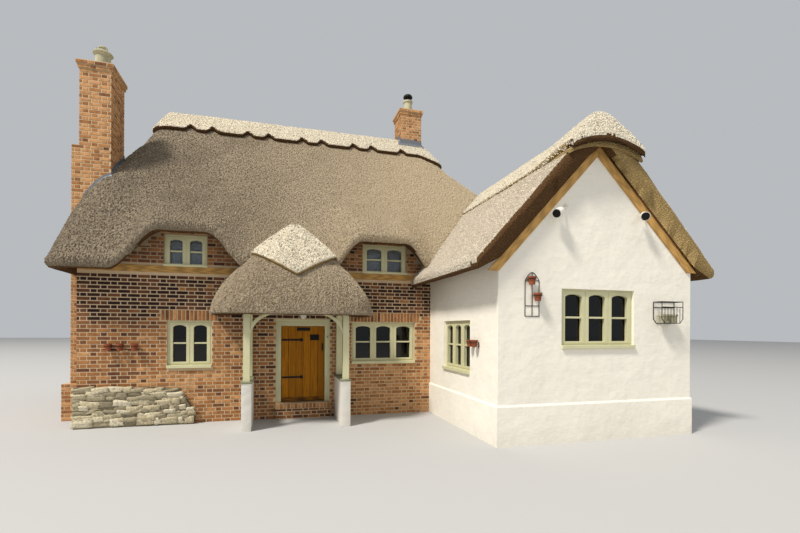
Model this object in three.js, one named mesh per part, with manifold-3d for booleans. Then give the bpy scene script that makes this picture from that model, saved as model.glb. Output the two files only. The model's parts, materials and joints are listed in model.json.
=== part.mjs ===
// Thatched cottage: a brick main range with a steep hipped thatch and eyebrow dormers,
// a rendered cross wing with a gable, a thatched porch on posts, and two brick chimneys.
// Millimetres, +Z up, +Y into the house. The origin is under the middle of the main
// range, on the underside of the ground floor, level with the foot of every wall.

import * as THREE from 'three';
import { mergeVertices } from 'three/addons/utils/BufferGeometryUtils.js';
import Module from 'manifold-3d';

const wasm = await Module();
wasm.setup();

// Driving dimensions of the main range
const WALL = 300;
const GAP = 0.3;
const MAIN = { x0: -5800, x1: 5800, y0: -3100, y1: 3100 };
const FLOOR_TOP = 350;
const UPPER_FLOOR = { bottom: 2400, top: 2580 };
const WALL_TOP_LIMIT = 5600;
const BELOW = -1000;
const SKY = 9500;

// Main thatch: eave line, ridge line and the line where the underside meets the walls
const EAVE = { x0: -6225, x1: 6300, y: 3650, z: 3350 };
const RIDGE = { x0: -4620, x1: 2150, z: 7900, reach: 0.965 };
const SEAT = { x0: -5800, x1: 5800, y: 3100, z: 3445 };
const INNER_RIDGE = { x0: -4400, x1: 1800, z: 7270, reach: 0.96 };
const LIP = { drop: 210, tuck: 70, bulge: 15 };
const LEFT_HIP_CURVE = 2.1;
const RIGHT_HIP_CURVE = 1.0;
const HIP_CORNER = { left: 420, right: 420, grow: 500 };
const RIDGE_COVER = { from: 0.845, thickness: 85, clear: 1 };

// Eyebrows: the eave swells up over each upper window
const EYEBROW = { lift: 790, reach: 1850 };
const FRONT_EYEBROWS = [
  { x: -3790, flat: 430, foot: 1330 },
  { x: 385, flat: 500, foot: 1330 },
];
const BACK_EYEBROWS = [
  { x: -2600, flat: 430, foot: 1330 },
  { x: 2600, flat: 430, foot: 1330 },
];

// Cross wing at the right end of the front
const WING = { x0: 1665, x1: 5800, y0: -6560 };
const WING_MID = 3680;
const WING_LEAN = 0.0225;
const WING_EAVE = { half: 2500, z: 3190, underside: 3010, bulge: 20, tuck: 60 };
const WING_RIDGE_Z = 5900;
const WING_SEAT_Z = 3230;
const WING_APEX_Z = 5370;
const WING_VERGE_Y = -6780;
const WING_BACK_Y = -900;
const WING_CROWN = 260;
const WING_CAP = { side: 740, thickness: 90, clear: 1, overhang: 50 };
const BARGE = { width: 215, thickness: 35, foot: 1450 };

// The front of the wing's ridge is rolled down over the gable like a hood, and the verge
// is cut back below its outer edge
const HOOD = { z: 5340, reach: 500, curve: 0.0005, side: 1000 };
const VERGE = { inset: [60, 24, 0], at: [0, 20, 70], backY: -6640, raise: 270, roll: 130, reach: 2830 };

// Front door, its frame and the brick step below it
const DOORWAY = { x0: -1970, x1: -770, top: 2220 };
const DOOR_FRAME = { jamb: 115, head: 155, y0: -3060, y1: -2962 };
const LEAF = { thickness: 45, clear: 5, bottom: 356, top: 2060, y0: -3005 };
const HINGE = { radius: 8, height: 100, flap: 40, z: [700, 1700] };
const STRAP = { x0: 12, length: 440, height: 42, thickness: 7, z: [904, 1750] };
const LATCH = { x: 915, z0: 1500, z1: 1672, width: 34 };
const STEP_TOP = 345;

// Porch: four posts, a frame of beams with curved braces, and a rounded thatch
const PORCH = { x0: -2520, x1: -575, yFront: -4200, yRear: -3170, post: 125, top: 2410, beam: 120 };
const PORCH_MID = (PORCH.x0 + PORCH.x1) / 2;
const PORCH_PLINTH = { side: 185, top: 970, cap: 45, lip: 14 };
const PORCH_BRACE = { reach: 420, depth: 70, thickness: 60 };
const PORCH_EAVE = {
  half: 1640, tip: 15, y: -4600, ridgeY: -3640, z: 2370, ridgeZ: 4180, underside: 2275, reach: 0.97,
};
const PORCH_INNER = { half: 1040, tip: 25, y: -4270, ridgeY: -3640, z: 2300, ridgeZ: 3880, reach: 0.95 };
const PORCH_BACK_Y = -2500;
const PORCH_THATCH_MID = PORCH_MID - 45;
const PORCH_ROUND = 900;
const PORCH_CURVE = 1.65;
const PORCH_CAP = { from: 0.25, thickness: 70, clear: 1, tip: 3050, tipX: -1570, rise: 0.56, reach: 2000 };

// Chimneys
const LEFT_STACK = { x0: -6105, x1: -5500, y0: -2200, y1: -1330, ledge: 5980, top: 7820 };
const LEFT_STACK_BREAST = -6245;
const LEFT_STACK_PLINTH = { x0: -6375, spread: 100, top: 790 };
const RIGHT_STACK = { x0: 1680, x1: 2320, y0: -300, y1: 420, top: 8740 };
const CORBEL = { course: 80, step: 28, count: 2 };
const LEFT_POT = { foot: 200, waist: 160, rim: 185, height: 450 };
const RIGHT_POT = { foot: 160, waist: 128, rim: 150, height: 430 };
const COWL_HEIGHT = 220;

// Window frames: member widths, depth in the reveal, sill and lights
const FRAME = { stile: 58, mullion: 52, depth: 70, recess: 55, sill: 60, sillReach: 45, arch: 70 };
const PANE = 8;

const RUBBLE = { x0: -5800, x1: -3625, reach: 150, topLeft: 810, topRight: 740, foot: 250, slopeAt: -3900 };

function paint(colour, roughness = 0.9, metalness = 0) {
  return new THREE.MeshStandardMaterial({ color: colour, roughness, metalness });
}

const paints = {
  brick: paint(0x9c5a44),
  chimney: paint(0xb5603c),
  render: paint(0xeeeae0),
  rubble: paint(0xa89c86),
  thatch: paint(0x8c8070, 1),
  wingThatch: paint(0xa08f76, 1),
  ridge: paint(0xc2b598, 1),
  oak: paint(0xb98a50, 0.7),
  door: paint(0x9a6a34, 0.55),
  frame: paint(0xc9c8ad, 0.5),
  plinth: paint(0xe6e3da),
  glass: paint(0x5a6670, 0.1),
  iron: paint(0x1c1c1d, 0.5, 0.6),
  clay: paint(0xcfc2a6, 0.8),
  floor: paint(0x9b978e),
  boards: paint(0x8a6a45),
};

// Turning geometry into solids and back
function solidOf(geometry) {
  const bare = geometry.clone();
  bare.deleteAttribute('normal');
  bare.deleteAttribute('uv');
  const merged = mergeVertices(bare, 0.001);
  return new wasm.Manifold(new wasm.Mesh({
    numProp: 3,
    vertProperties: new Float32Array(merged.attributes.position.array),
    triVerts: new Uint32Array(merged.index.array),
  }));
}

function geometryOf(solid) {
  const mesh = solid.getMesh();
  const geometry = new THREE.BufferGeometry();
  geometry.setAttribute('position', new THREE.BufferAttribute(mesh.vertProperties, 3));
  geometry.setIndex(new THREE.BufferAttribute(mesh.triVerts, 1));
  geometry.computeVertexNormals();
  return geometry;
}

function boxGeometry(x0, x1, y0, y1, z0, z1) {
  const geometry = new THREE.BoxGeometry(x1 - x0, y1 - y0, z1 - z0);
  return geometry.translate((x0 + x1) / 2, (y0 + y1) / 2, (z0 + z1) / 2);
}

function box(x0, x1, y0, y1, z0, z1) {
  return solidOf(boxGeometry(x0, x1, y0, y1, z0, z1));
}

function join(solids) {
  return solids.reduce((whole, next) => whole.add(next));
}

function cut(solid, tools) {
  return tools.reduce((left, tool) => left.subtract(tool), solid);
}

// A plate drawn in X and Z, running along Y from y0 to y1
function plateAcross(shape, y0, y1, curveSegments = 8) {
  const options = { depth: y1 - y0, bevelEnabled: false, curveSegments };
  const geometry = new THREE.ExtrudeGeometry(shape, options);
  return geometry.rotateX(Math.PI / 2).translate(0, y1, 0);
}

// A plate drawn in Y and Z, running along X from x0 to x1
function plateAlong(shape, x0, x1, curveSegments = 8) {
  const options = { depth: x1 - x0, bevelEnabled: false, curveSegments };
  const geometry = new THREE.ExtrudeGeometry(shape, options);
  return geometry.rotateX(Math.PI / 2).rotateZ(Math.PI / 2).translate(x0, 0, 0);
}

function polygon(points) {
  return new THREE.Shape(points.map(([u, v]) => new THREE.Vector2(u, v)));
}

function mix(a, b, t) {
  return a + (b - a) * t;
}

// Thatch coats are lofted through level rings. Each ring is a rectangle with round
// corners, drawn as two halves that run from the middle of the left end to the middle
// of the right end, one along the front and one along the back.
const RING = { side: 3, corner: 5, long: 36 };

function halfRing(ring, side, counts) {
  const middle = (ring.y0 + ring.y1) / 2;
  const span = Math.abs(ring.y1 - ring.y0) / 2;
  const left = Math.min(ring.left, span * 0.85);
  const right = Math.min(ring.right, span * 0.85);
  const points = [];
  for (let i = 0; i < counts.side; i += 1) {
    points.push([ring.x0, middle + (side * (span - left) * i) / counts.side]);
  }
  for (let i = 0; i <= counts.corner; i += 1) {
    const turn = (Math.PI / 2) * (i / counts.corner);
    points.push([
      ring.x0 + left - left * Math.cos(turn),
      middle + side * (span - left + left * Math.sin(turn)),
    ]);
  }
  for (let i = 1; i < counts.long; i += 1) {
    points.push([mix(ring.x0 + left, ring.x1 - right, i / counts.long), middle + side * span]);
  }
  for (let i = 0; i <= counts.corner; i += 1) {
    const turn = (Math.PI / 2) * (i / counts.corner);
    points.push([
      ring.x1 - right + right * Math.sin(turn),
      middle + side * (span - right + right * Math.cos(turn)),
    ]);
  }
  for (let i = 1; i <= counts.side; i += 1) {
    points.push([ring.x1, middle + side * (span - right) * (1 - i / counts.side)]);
  }
  return points.map(([x, y]) => [x, y, ring.z + ring.lift(x, y)]);
}

// The points of one ring, anticlockwise from above: along the front, back behind
function ringPoints(ring, counts) {
  const front = halfRing(ring, -1, counts);
  const back = halfRing(ring, 1, counts).slice(1, -1).reverse();
  return [...front, ...back];
}

// Distance between two points of the loops, counted through them all
function span(loops, a, b) {
  const count = loops[0].length;
  const [p, q] = [a, b].map((n) => loops[Math.floor(n / count)][n % count]);
  return Math.hypot(p[0] - q[0], p[1] - q[1], p[2] - q[2]);
}

// Closed loft through loops of equal count, each face split along its shorter diagonal,
// with each end loop zipped across
function loftLoops(loops, half) {
  const count = loops[0].length;
  const index = [];
  const at = (loop, i) => loop * count + ((i + count) % count);
  for (let k = 0; k + 1 < loops.length; k += 1) {
    for (let i = 0; i < count; i += 1) {
      const corners = [[k, i], [k, i + 1], [k + 1, i + 1], [k + 1, i]];
      const [a, b, c, d] = corners.map(([loop, n]) => at(loop, n));
      const faces = span(loops, a, c) < span(loops, b, d) ? [a, b, c, a, c, d] : [a, b, d, b, c, d];
      index.push(...faces);
    }
  }
  const zip = (loop, up) => {
    for (let i = 0; i + 1 < half; i += 1) {
      const quad = [at(loop, i), at(loop, i + 1), at(loop, -(i + 1)), at(loop, -i)];
      const faces = [];
      if (i + 2 < half + 1 && quad[1] !== quad[2]) {
        faces.push([quad[0], quad[1], quad[2]]);
      }
      if (quad[0] !== quad[3]) {
        faces.push([quad[0], quad[2], quad[3]]);
      }
      faces.forEach(([a, b, c]) => index.push(...(up ? [a, b, c] : [a, c, b])));
    }
  };
  zip(0, false);
  zip(loops.length - 1, true);
  const geometry = new THREE.BufferGeometry();
  geometry.setAttribute('position', new THREE.Float32BufferAttribute(loops.flat(2), 3));
  geometry.setIndex(index);
  geometry.computeVertexNormals();
  return geometry;
}

function halfCount(counts) {
  return counts.side * 2 + counts.corner * 2 + counts.long + 1;
}

function loftRings(rings, counts = RING) {
  return loftLoops(rings.map((ring) => ringPoints(ring, counts)), halfCount(counts));
}

// A skin over the upper rings of a coat, from just clear of it to its own thickness
function skinOver(rings, first, { clear, thickness }, counts) {
  const coat = loftRings(rings, counts);
  const place3 = coat.attributes.position;
  const normal = coat.attributes.normal;
  const count = ringPoints(rings[0], counts).length;
  const loopAt = (loop, distance) => Array.from({ length: count }, (unused, i) => {
    const n = loop * count + i;
    return [
      place3.getX(n) + normal.getX(n) * distance,
      place3.getY(n) + normal.getY(n) * distance,
      place3.getZ(n) + normal.getZ(n) * distance,
    ];
  });
  const chosen = rings.map((ring, k) => k).filter((k) => k >= first);
  const under = chosen.map((k) => loopAt(k, clear)).reverse();
  const over = chosen.map((k) => loopAt(k, thickness));
  return loftLoops([...under, ...over], halfCount(counts));
}

function smooth(t) {
  const s = Math.min(Math.max(t, 0), 1);
  return s * s * (3 - 2 * s);
}

function eyebrowLift(x, y) {
  const inward = Math.min(Math.max(EAVE.y - Math.abs(y), 0) / EYEBROW.reach, 1);
  const fade = 0.5 * (1 + Math.cos(Math.PI * inward));
  const list = y < 0 ? FRONT_EYEBROWS : BACK_EYEBROWS;
  const swell = list.map((brow) => {
    const away = (Math.abs(x - brow.x) - brow.flat) / (brow.foot - brow.flat);
    return 1 - smooth(away);
  });
  return EYEBROW.lift * fade * Math.max(...swell);
}

// Rings of the main thatch
function mainRing(t, lower, upper) {
  return {
    x0: mix(lower.x0, upper.x0, t ** LEFT_HIP_CURVE),
    x1: mix(lower.x1, upper.x1, t ** RIGHT_HIP_CURVE),
    y0: -lower.y * (1 - t),
    y1: lower.y * (1 - t),
    z: mix(lower.z, upper.z, t),
    left: HIP_CORNER.left + HIP_CORNER.grow * t,
    right: HIP_CORNER.right + HIP_CORNER.grow * t,
    lift: eyebrowLift,
  };
}

function steps(count, last) {
  return Array.from({ length: count + 1 }, (unused, i) => (last * i) / count);
}

const MAIN_STEPS = [
  0, 0.06, 0.13, 0.21, 0.3, 0.4, 0.5, 0.6, 0.7, 0.78, RIDGE_COVER.from, 0.92, RIDGE.reach,
];
const mainOuter = MAIN_STEPS.map((t) => mainRing(t, EAVE, RIDGE));
const mainInner = steps(8, INNER_RIDGE.reach).map((t) => mainRing(t, SEAT, INNER_RIDGE));

function lipRing(out, z) {
  const ring = mainRing(0, EAVE, RIDGE);
  return { ...ring, x0: ring.x0 - out, x1: ring.x1 + out, y0: ring.y0 - out, y1: ring.y1 + out, z };
}

const mainLip = [
  lipRing(-LIP.tuck, EAVE.z - LIP.drop),
  lipRing(LIP.bulge, EAVE.z - LIP.drop * 0.62),
  lipRing(LIP.bulge * 1.6, EAVE.z - LIP.drop * 0.25),
];

function mainUnder(drop) {
  const foot = { ...mainLip[0], z: BELOW, lift: () => 0 };
  const rings = [foot, mainLip[0], ...mainInner].map((ring) => ({ ...ring, z: ring.z - drop }));
  return solidOf(loftRings(rings));
}

// The wing's ridge isn't over the middle of the wing: its roof leans to the left with height
const LEANING = new THREE.Matrix4()
  .makeShear(0, 0, 0, 0, -WING_LEAN, 0)
  .setPosition(WING_LEAN * WING_EAVE.z, 0, 0);

function leaning(geometry) {
  return geometry.applyMatrix4(LEANING);
}

function bend(t, a, b, c) {
  return (1 - t) ** 2 * a + 2 * t * (1 - t) * b + t * t * c;
}

// Half the outline of the wing thatch, from its ridge to the middle of its underside, as
// distance from the ridge line and height
const WING_FALL = (WING_RIDGE_Z - WING_EAVE.z) / WING_EAVE.half;
const WING_SHOULDER_Z = WING_RIDGE_Z - WING_CROWN * WING_FALL;
const WING_TOP_Z = WING_RIDGE_Z - (WING_CROWN * WING_FALL) / 2;

function wingHalf(grow, foot) {
  const { half, z, underside, bulge, tuck } = WING_EAVE;
  const under = underside - grow;
  const crown = steps(4, 1).map((t) => [WING_CROWN * t, mix(WING_TOP_Z, WING_SHOULDER_Z, t * t) + grow]);
  const slope = steps(14, 1).slice(1).map((t) => [
    mix(WING_CROWN, half + grow, t), mix(WING_SHOULDER_Z, z, t) + grow,
  ]);
  const lip = steps(5, 1).slice(1).map((t) => [
    bend(t, half + grow, half + bulge + grow, half - tuck), bend(t, z + grow, under, under),
  ]);
  const down = foot === undefined ? [] : [[half - tuck, foot]];
  return [...crown, ...slope, ...lip, ...down, [0, foot ?? under]];
}

// An arch over the ridge line, open beyond the sides of the hood
function arch(away, crown, share) {
  return away > HOOD.side ? Infinity : crown - HOOD.curve * away ** 2 * share;
}

function hoodHeight(away, y) {
  const back = Math.min(Math.max((y - WING_VERGE_Y) / HOOD.reach, 0), 1);
  return arch(away, mix(HOOD.z, WING_TOP_Z, Math.sqrt(1 - (1 - back) ** 2)), 1 - back);
}

// Mirrors half an outline about the ridge line, into a loop that runs clockwise from the front
function wingLoop(half, y) {
  const right = half.map(([away, z]) => [WING_MID + away, y, z]);
  const left = half.slice(1, -1).reverse().map(([away, z]) => [WING_MID - away, y, z]);
  return [...right, ...left];
}

// Loft along Y through the wing's outline at places given as Y and inset
function wingLoft(places, grow, foot) {
  const halves = places.map(([y, inset]) => wingHalf(grow - inset, foot).map(([away, z]) => [
    away, Math.min(z, hoodHeight(away, y) + grow - inset),
  ]));
  const loops = halves.map((half, k) => wingLoop(half, places[k][0]));
  return solidOf(leaning(loftLoops(loops, halves[0].length)));
}

const HOOD_BACK_Y = WING_VERGE_Y + HOOD.reach;
const hoodPlaces = [0.25, 0.5, 0.75, 1].map((share) => [WING_VERGE_Y + share * HOOD.reach, 0]);

function wingFill(grow) {
  return wingLoft([[HOOD_BACK_Y, 0], [WING_BACK_Y, 0]], grow, BELOW);
}

function wingUnder(drop) {
  const lip = WING_EAVE.half - WING_EAVE.tuck;
  const outline = polygon([
    [WING_MID - lip, BELOW], [WING_MID + lip, BELOW], [WING_MID + lip, WING_EAVE.underside - drop],
    [WING.x1, WING_SEAT_Z - drop], [WING_MID, WING_APEX_Z - drop], [WING.x0, WING_SEAT_Z - drop],
    [WING_MID - lip, WING_EAVE.underside - drop],
  ]);
  return solidOf(leaning(plateAcross(outline, WING_VERGE_Y - 500, WING_BACK_Y + 500)));
}

// What is cut out below the outer edge of the verge: it opens towards the front
function vergeCut() {
  const pitch = (WING_APEX_Z - WING_SEAT_Z) / (WING.x1 - WING_MID);
  const loopAt = (y, share) => {
    const crown = mix(WING_APEX_Z, HOOD.z - VERGE.roll, share);
    const slope = steps(12, VERGE.reach).map((away) => [
      away, Math.min(WING_APEX_Z + VERGE.raise * share - away * pitch, arch(away, crown, share)),
    ]);
    return wingLoop([...slope, [VERGE.reach, BELOW], [0, BELOW]], y);
  };
  const loops = [loopAt(WING_VERGE_Y - 1, 1), loopAt(VERGE.backY, 0)];
  return solidOf(leaning(loftLoops(loops, loops[0].length / 2 + 1)));
}

// Rings of the porch thatch, drawn end on: their left end is the front of the porch
const PORCH_COUNTS = { side: 3, corner: 6, long: 5 };
const PORCH_OVERRUN = 600;

function porchRing(t, form) {
  const inward = t ** PORCH_CURVE;
  const half = mix(form.half, form.tip, inward);
  return {
    x0: mix(form.y, form.ridgeY, inward),
    x1: PORCH_BACK_Y,
    y0: -half,
    y1: half,
    z: mix(form.z, form.ridgeZ, t),
    left: PORCH_ROUND,
    right: 20,
    lift: () => 0,
  };
}

const PORCH_STEPS = [0, 0.12, PORCH_CAP.from, 0.4, 0.5, 0.62, 0.75, 0.88, PORCH_EAVE.reach];
const porchOuter = PORCH_STEPS.map((t) => porchRing(t, PORCH_EAVE));
const porchInner = steps(5, PORCH_INNER.reach).map((t) => porchRing(t, PORCH_INNER));

function porchLipRing(out, z) {
  const ring = porchOuter[0];
  return { ...ring, x0: ring.x0 - out, y0: ring.y0 - out, y1: ring.y1 + out, z };
}

const porchLip = [
  porchLipRing(-60, PORCH_EAVE.underside),
  porchLipRing(16, PORCH_EAVE.underside + 45),
];

function turned(geometry) {
  return geometry.rotateZ(Math.PI / 2).translate(PORCH_THATCH_MID, 0, 0);
}

function porchLoft(rings) {
  return solidOf(turned(loftRings(rings, PORCH_COUNTS)));
}

function swollen(ring, by) {
  return {
    ...ring, x0: ring.x0 - by, x1: ring.x1 + by, y0: ring.y0 - by, y1: ring.y1 + by, z: ring.z + by,
  };
}

// The hollow below the porch thatch, open to the house
function porchUnder(drop) {
  const foot = { ...porchLip[0], z: BELOW };
  const rings = [foot, porchLip[0], ...porchInner].map((ring) => ({
    ...ring, x1: ring.x1 + PORCH_OVERRUN, z: ring.z - drop,
  }));
  return porchLoft(rings);
}

// Everything below the outside of the porch thatch
function porchFill() {
  const grown = [...porchLip, ...porchOuter].map((ring) => swollen(ring, GAP));
  return porchLoft([{ ...grown[0], z: BELOW }, ...grown]);
}

// Everything below the outside of the main thatch
function mainFill(grow) {
  const rings = [...mainLip, ...mainOuter].map((ring) => swollen(ring, grow));
  return solidOf(loftRings([{ ...rings[0], z: BELOW, lift: () => 0 }, ...rings]));
}

function tallBox(stack, x0) {
  return box(x0 - GAP, stack.x1 + GAP, stack.y0 - GAP, stack.y1 + GAP, BELOW, SKY);
}

// Volumes that the roof pieces cut each other with
const underMain = mainUnder(GAP);
const underWing = wingUnder(GAP);
const mainAttic = mainUnder(-GAP).intersect(box(-SKY, SKY, MAIN.y0 - GAP, SKY, BELOW, SKY));
const belowMainCoat = mainFill(GAP);
const stackHoles = [tallBox(LEFT_STACK, LEFT_STACK_BREAST), tallBox(RIGHT_STACK, RIGHT_STACK.x0)];

function mainThatch() {
  const coat = solidOf(loftRings([...mainInner.slice().reverse(), ...mainLip, ...mainOuter]));
  return cut(coat, [wingFill(GAP), porchFill(), ...stackHoles]);
}

function mainRidgeCap() {
  const first = MAIN_STEPS.indexOf(RIDGE_COVER.from);
  const skin = skinOver(mainOuter, first, RIDGE_COVER, RING);
  return cut(solidOf(skin), stackHoles);
}

function wingThatch() {
  const verge = VERGE.at.map((back, n) => [WING_VERGE_Y + back, VERGE.inset[n]]);
  const coat = wingLoft([...verge, ...hoodPlaces, [WING_BACK_Y, 0]], 0);
  return cut(coat, [wingUnder(0), vergeCut(), mainAttic]);
}

// The wing's ridge cap wraps over the crown of the coat and dies into the main slope
function wingRidgeCap() {
  const { side, thickness, clear, overhang } = WING_CAP;
  const sky = polygon([
    [WING_MID - side, WING_EAVE.z], [WING_MID + side, WING_EAVE.z],
    [WING_MID + side, SKY], [WING_MID - side, SKY],
  ]);
  const band = solidOf(leaning(plateAcross(sky, WING_VERGE_Y - SKY, WING_BACK_Y)));
  const onwards = [...VERGE.at.map((back) => [WING_VERGE_Y + back, 0]), ...hoodPlaces];
  const over = wingLoft([[WING_VERGE_Y - overhang, 0], ...onwards, [WING_BACK_Y, 0]], thickness);
  const coat = wingLoft([[WING_VERGE_Y - SKY, 0], ...onwards, [WING_BACK_Y + SKY, 0]], clear);
  return cut(over.intersect(band), [coat, belowMainCoat]);
}

function porchThatch() {
  const outside = porchLoft([...porchLip, ...porchOuter]);
  return cut(outside, [porchUnder(0), mainAttic]);
}

// The porch's ridge cap is a diamond from the front: its lower edges run down to a point
function porchRidgeCap() {
  const { tip, tipX, rise, reach, from } = PORCH_CAP;
  const skin = turned(skinOver(porchOuter, PORCH_STEPS.indexOf(from), PORCH_CAP, PORCH_COUNTS));
  const edge = tip + rise * reach;
  const diamond = polygon([
    [tipX, tip], [tipX + reach, edge], [tipX + reach, SKY], [tipX - reach, SKY], [tipX - reach, edge],
  ]);
  return solidOf(skin).intersect(solidOf(plateAcross(diamond, -SKY, SKY))).subtract(belowMainCoat);
}

// Boards under the verge of the wing, one on each slope of the gable
function bargeboard(side) {
  const { width, thickness, foot } = BARGE;
  const run = side < 0 ? WING_MID - WING.x0 : WING.x1 - WING_MID;
  const pitch = (WING_APEX_Z - WING_SEAT_Z) / run;
  const rise = (u) => WING_APEX_Z - Math.abs(u - WING_MID) * pitch - GAP;
  const outer = WING_MID + side * (WING_MID - foot);
  const inner = WING_MID + side * GAP;
  const shape = polygon([
    [outer, rise(outer)], [inner, rise(inner)], [inner, rise(inner) - width],
    [outer - side * (width / pitch), rise(outer)],
  ]);
  return solidOf(leaning(plateAcross(shape, WING.y0 - thickness - GAP, WING.y0 - GAP)));
}

// Walls: tall boxes with their openings cut, trimmed to the underside of a roof
function wall(limits, holes, roof) {
  const [x0, x1, y0, y1] = limits;
  return cut(box(x0, x1, y0, y1, 0, WALL_TOP_LIMIT), holes).intersect(roof);
}

// A window is a hole in a wall with its frame, and a pane behind the frame. Its face
// says which way it looks: the outside of its wall, and whether it runs along X or Y.
const FACES = {
  front: { along: 'x', at: MAIN.y0, inward: 1 },
  back: { along: 'x', at: MAIN.y1, inward: -1 },
  gable: { along: 'x', at: WING.y0, inward: 1 },
  wingLeft: { along: 'y', at: WING.x0, inward: 1 },
  wingRight: { along: 'y', at: WING.x1, inward: -1 },
};

const WINDOWS = {
  window_ground_left: { face: 'front', u0: -4170, u1: -3295, z0: 1160, z1: 2162, lights: 2, sill: true },
  window_ground_right: { face: 'front', u0: -269, u1: 1268, z0: 1191, z1: 2166, lights: 3, sill: true },
  window_upper_left: { face: 'front', u0: -4235, u1: -3395, z0: 3300, z1: 3975, lights: 2 },
  window_upper_right: { face: 'front', u0: -15, u1: 1045, z0: 3310, z1: 4000, lights: 2 },
  window_wing_left: { face: 'wingLeft', u0: -5424, u1: -4034, z0: 1132, z1: 2188, lights: 3, sill: true },
  window_gable: { face: 'gable', u0: 2910, u1: 4469, z0: 1672, z1: 2740, lights: 3, sill: true },
  window_wing_right: { face: 'wingRight', u0: -5424, u1: -4034, z0: 1132, z1: 2188, lights: 3, sill: true },
  window_back_ground_left: { face: 'back', u0: -3300, u1: -1900, z0: 1180, z1: 2166, lights: 3, sill: true },
  window_back_ground_right: { face: 'back', u0: 1900, u1: 3300, z0: 1180, z1: 2166, lights: 3, sill: true },
  window_back_upper_left: { face: 'back', u0: -3020, u1: -2180, z0: 3300, z1: 3975, lights: 2 },
  window_back_upper_right: { face: 'back', u0: 2180, u1: 3020, z0: 3300, z1: 3975, lights: 2 },
};

// A block that fills part of a window's reveal, from one depth to another
function revealBox(face, u0, u1, near, far, z0, z1) {
  const ends = [face.at + face.inward * near, face.at + face.inward * far].sort((a, b) => a - b);
  return face.along === 'x'
    ? box(u0, u1, ends[0], ends[1], z0, z1)
    : box(ends[0], ends[1], u0, u1, z0, z1);
}

function windowHole(name) {
  const { face, u0, u1, z0, z1 } = WINDOWS[name];
  return revealBox(FACES[face], u0, u1, -500, WALL + 100, z0, z1);
}

// One light with a low arched head
function lightOutline(u0, u1, z0, z1) {
  const shape = new THREE.Shape();
  const shoulder = (u1 - u0) * 0.12;
  shape.moveTo(u0, z0);
  shape.lineTo(u1, z0);
  shape.lineTo(u1, z1 - FRAME.arch);
  shape.quadraticCurveTo(u1 - shoulder, z1 - FRAME.arch * 0.1, (u0 + u1) / 2, z1);
  shape.quadraticCurveTo(u0 + shoulder, z1 - FRAME.arch * 0.1, u0, z1 - FRAME.arch);
  return shape;
}

function windowFrame(name) {
  const { face: faceName, u0, u1, z0, z1, lights, sill } = WINDOWS[name];
  const face = FACES[faceName];
  const { stile, mullion, depth, recess } = FRAME;
  const foot = z0 + (sill ? FRAME.sill : 0);
  const body = revealBox(face, u0 + GAP, u1 - GAP, recess, recess + depth, z0 + GAP, z1 - GAP);
  const width = (u1 - u0 - 2 * stile - (lights - 1) * mullion) / lights;
  const plate = face.along === 'x' ? plateAcross : plateAlong;
  const cuts = Array.from({ length: lights }, (unused, i) => {
    const start = u0 + stile + i * (width + mullion);
    const outline = lightOutline(start, start + width, foot + stile * 0.8, z1 - stile);
    return solidOf(plate(outline, face.at - WALL, face.at + WALL, 3));
  });
  const frame = cut(body, cuts);
  if (!sill) {
    return frame;
  }
  const ledge = revealBox(face, u0 + GAP, u1 - GAP, -FRAME.sillReach, recess + depth, z0 + GAP, foot);
  return frame.add(ledge);
}

function windowPane(name) {
  const { face, u0, u1, z0, z1 } = WINDOWS[name];
  const near = FRAME.recess + FRAME.depth + GAP;
  return revealBox(FACES[face], u0 + GAP, u1 - GAP, near, near + PANE, z0 + GAP, z1 - GAP);
}

// Chimneys: a shaft with oversailing courses at its top
function stackCap({ x0, x1, y0, y1, top }) {
  const { course, step, count } = CORBEL;
  const foot = top - course * count;
  return join(Array.from({ length: count }, (unused, i) => {
    const out = step * (i + 1);
    return box(x0 - out, x1 + out, y0 - out, y1 + out, foot + course * i, foot + course * (i + 1));
  }));
}

function leftStack() {
  const { x0, x1, y0, y1, ledge, top } = LEFT_STACK;
  const base = LEFT_STACK_PLINTH;
  const shaft = box(x0, x1, y0, y1, 0, top - 1);
  const breast = box(LEFT_STACK_BREAST, x1, y0, y1, 0, ledge);
  const plinth = box(base.x0, MAIN.x0 - GAP, y0 - base.spread, y1 + base.spread, 0, base.top);
  return join([breast, shaft, plinth, stackCap(LEFT_STACK)]);
}

function rightStack() {
  const { x0, x1, y0, y1, top } = RIGHT_STACK;
  return box(x0, x1, y0, y1, FLOOR_TOP + GAP, top - 1).add(stackCap(RIGHT_STACK));
}

// A clay pot, turned, standing on its stack
function potSolid(stack, pot) {
  const { foot, waist, rim, height } = pot;
  const outline = [
    [0, 0], [foot, 0], [foot, height * 0.12], [waist, height * 0.2],
    [waist * 0.95, height * 0.82], [rim, height * 0.88], [rim, height], [0, height],
  ].map(([r, h]) => new THREE.Vector2(r, h));
  const geometry = new THREE.LatheGeometry(outline, 20).rotateX(Math.PI / 2);
  const middle = [(stack.x0 + stack.x1) / 2, (stack.y0 + stack.y1) / 2];
  return solidOf(geometry.translate(...middle, stack.top + GAP));
}

// A louvred metal cowl on the right pot
function cowlSolid() {
  const r = RIGHT_POT.waist * 0.86;
  const outline = [
    [0, 0], [r, 0], [r, COWL_HEIGHT * 0.75], [r * 1.25, COWL_HEIGHT * 0.78], [0, COWL_HEIGHT],
  ].map(([radius, h]) => new THREE.Vector2(radius, h));
  const geometry = new THREE.LatheGeometry(outline, 16).rotateX(Math.PI / 2);
  const middle = [(RIGHT_STACK.x0 + RIGHT_STACK.x1) / 2, (RIGHT_STACK.y0 + RIGHT_STACK.y1) / 2];
  return solidOf(geometry.translate(...middle, RIGHT_STACK.top + RIGHT_POT.height + 2 * GAP));
}

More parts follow.
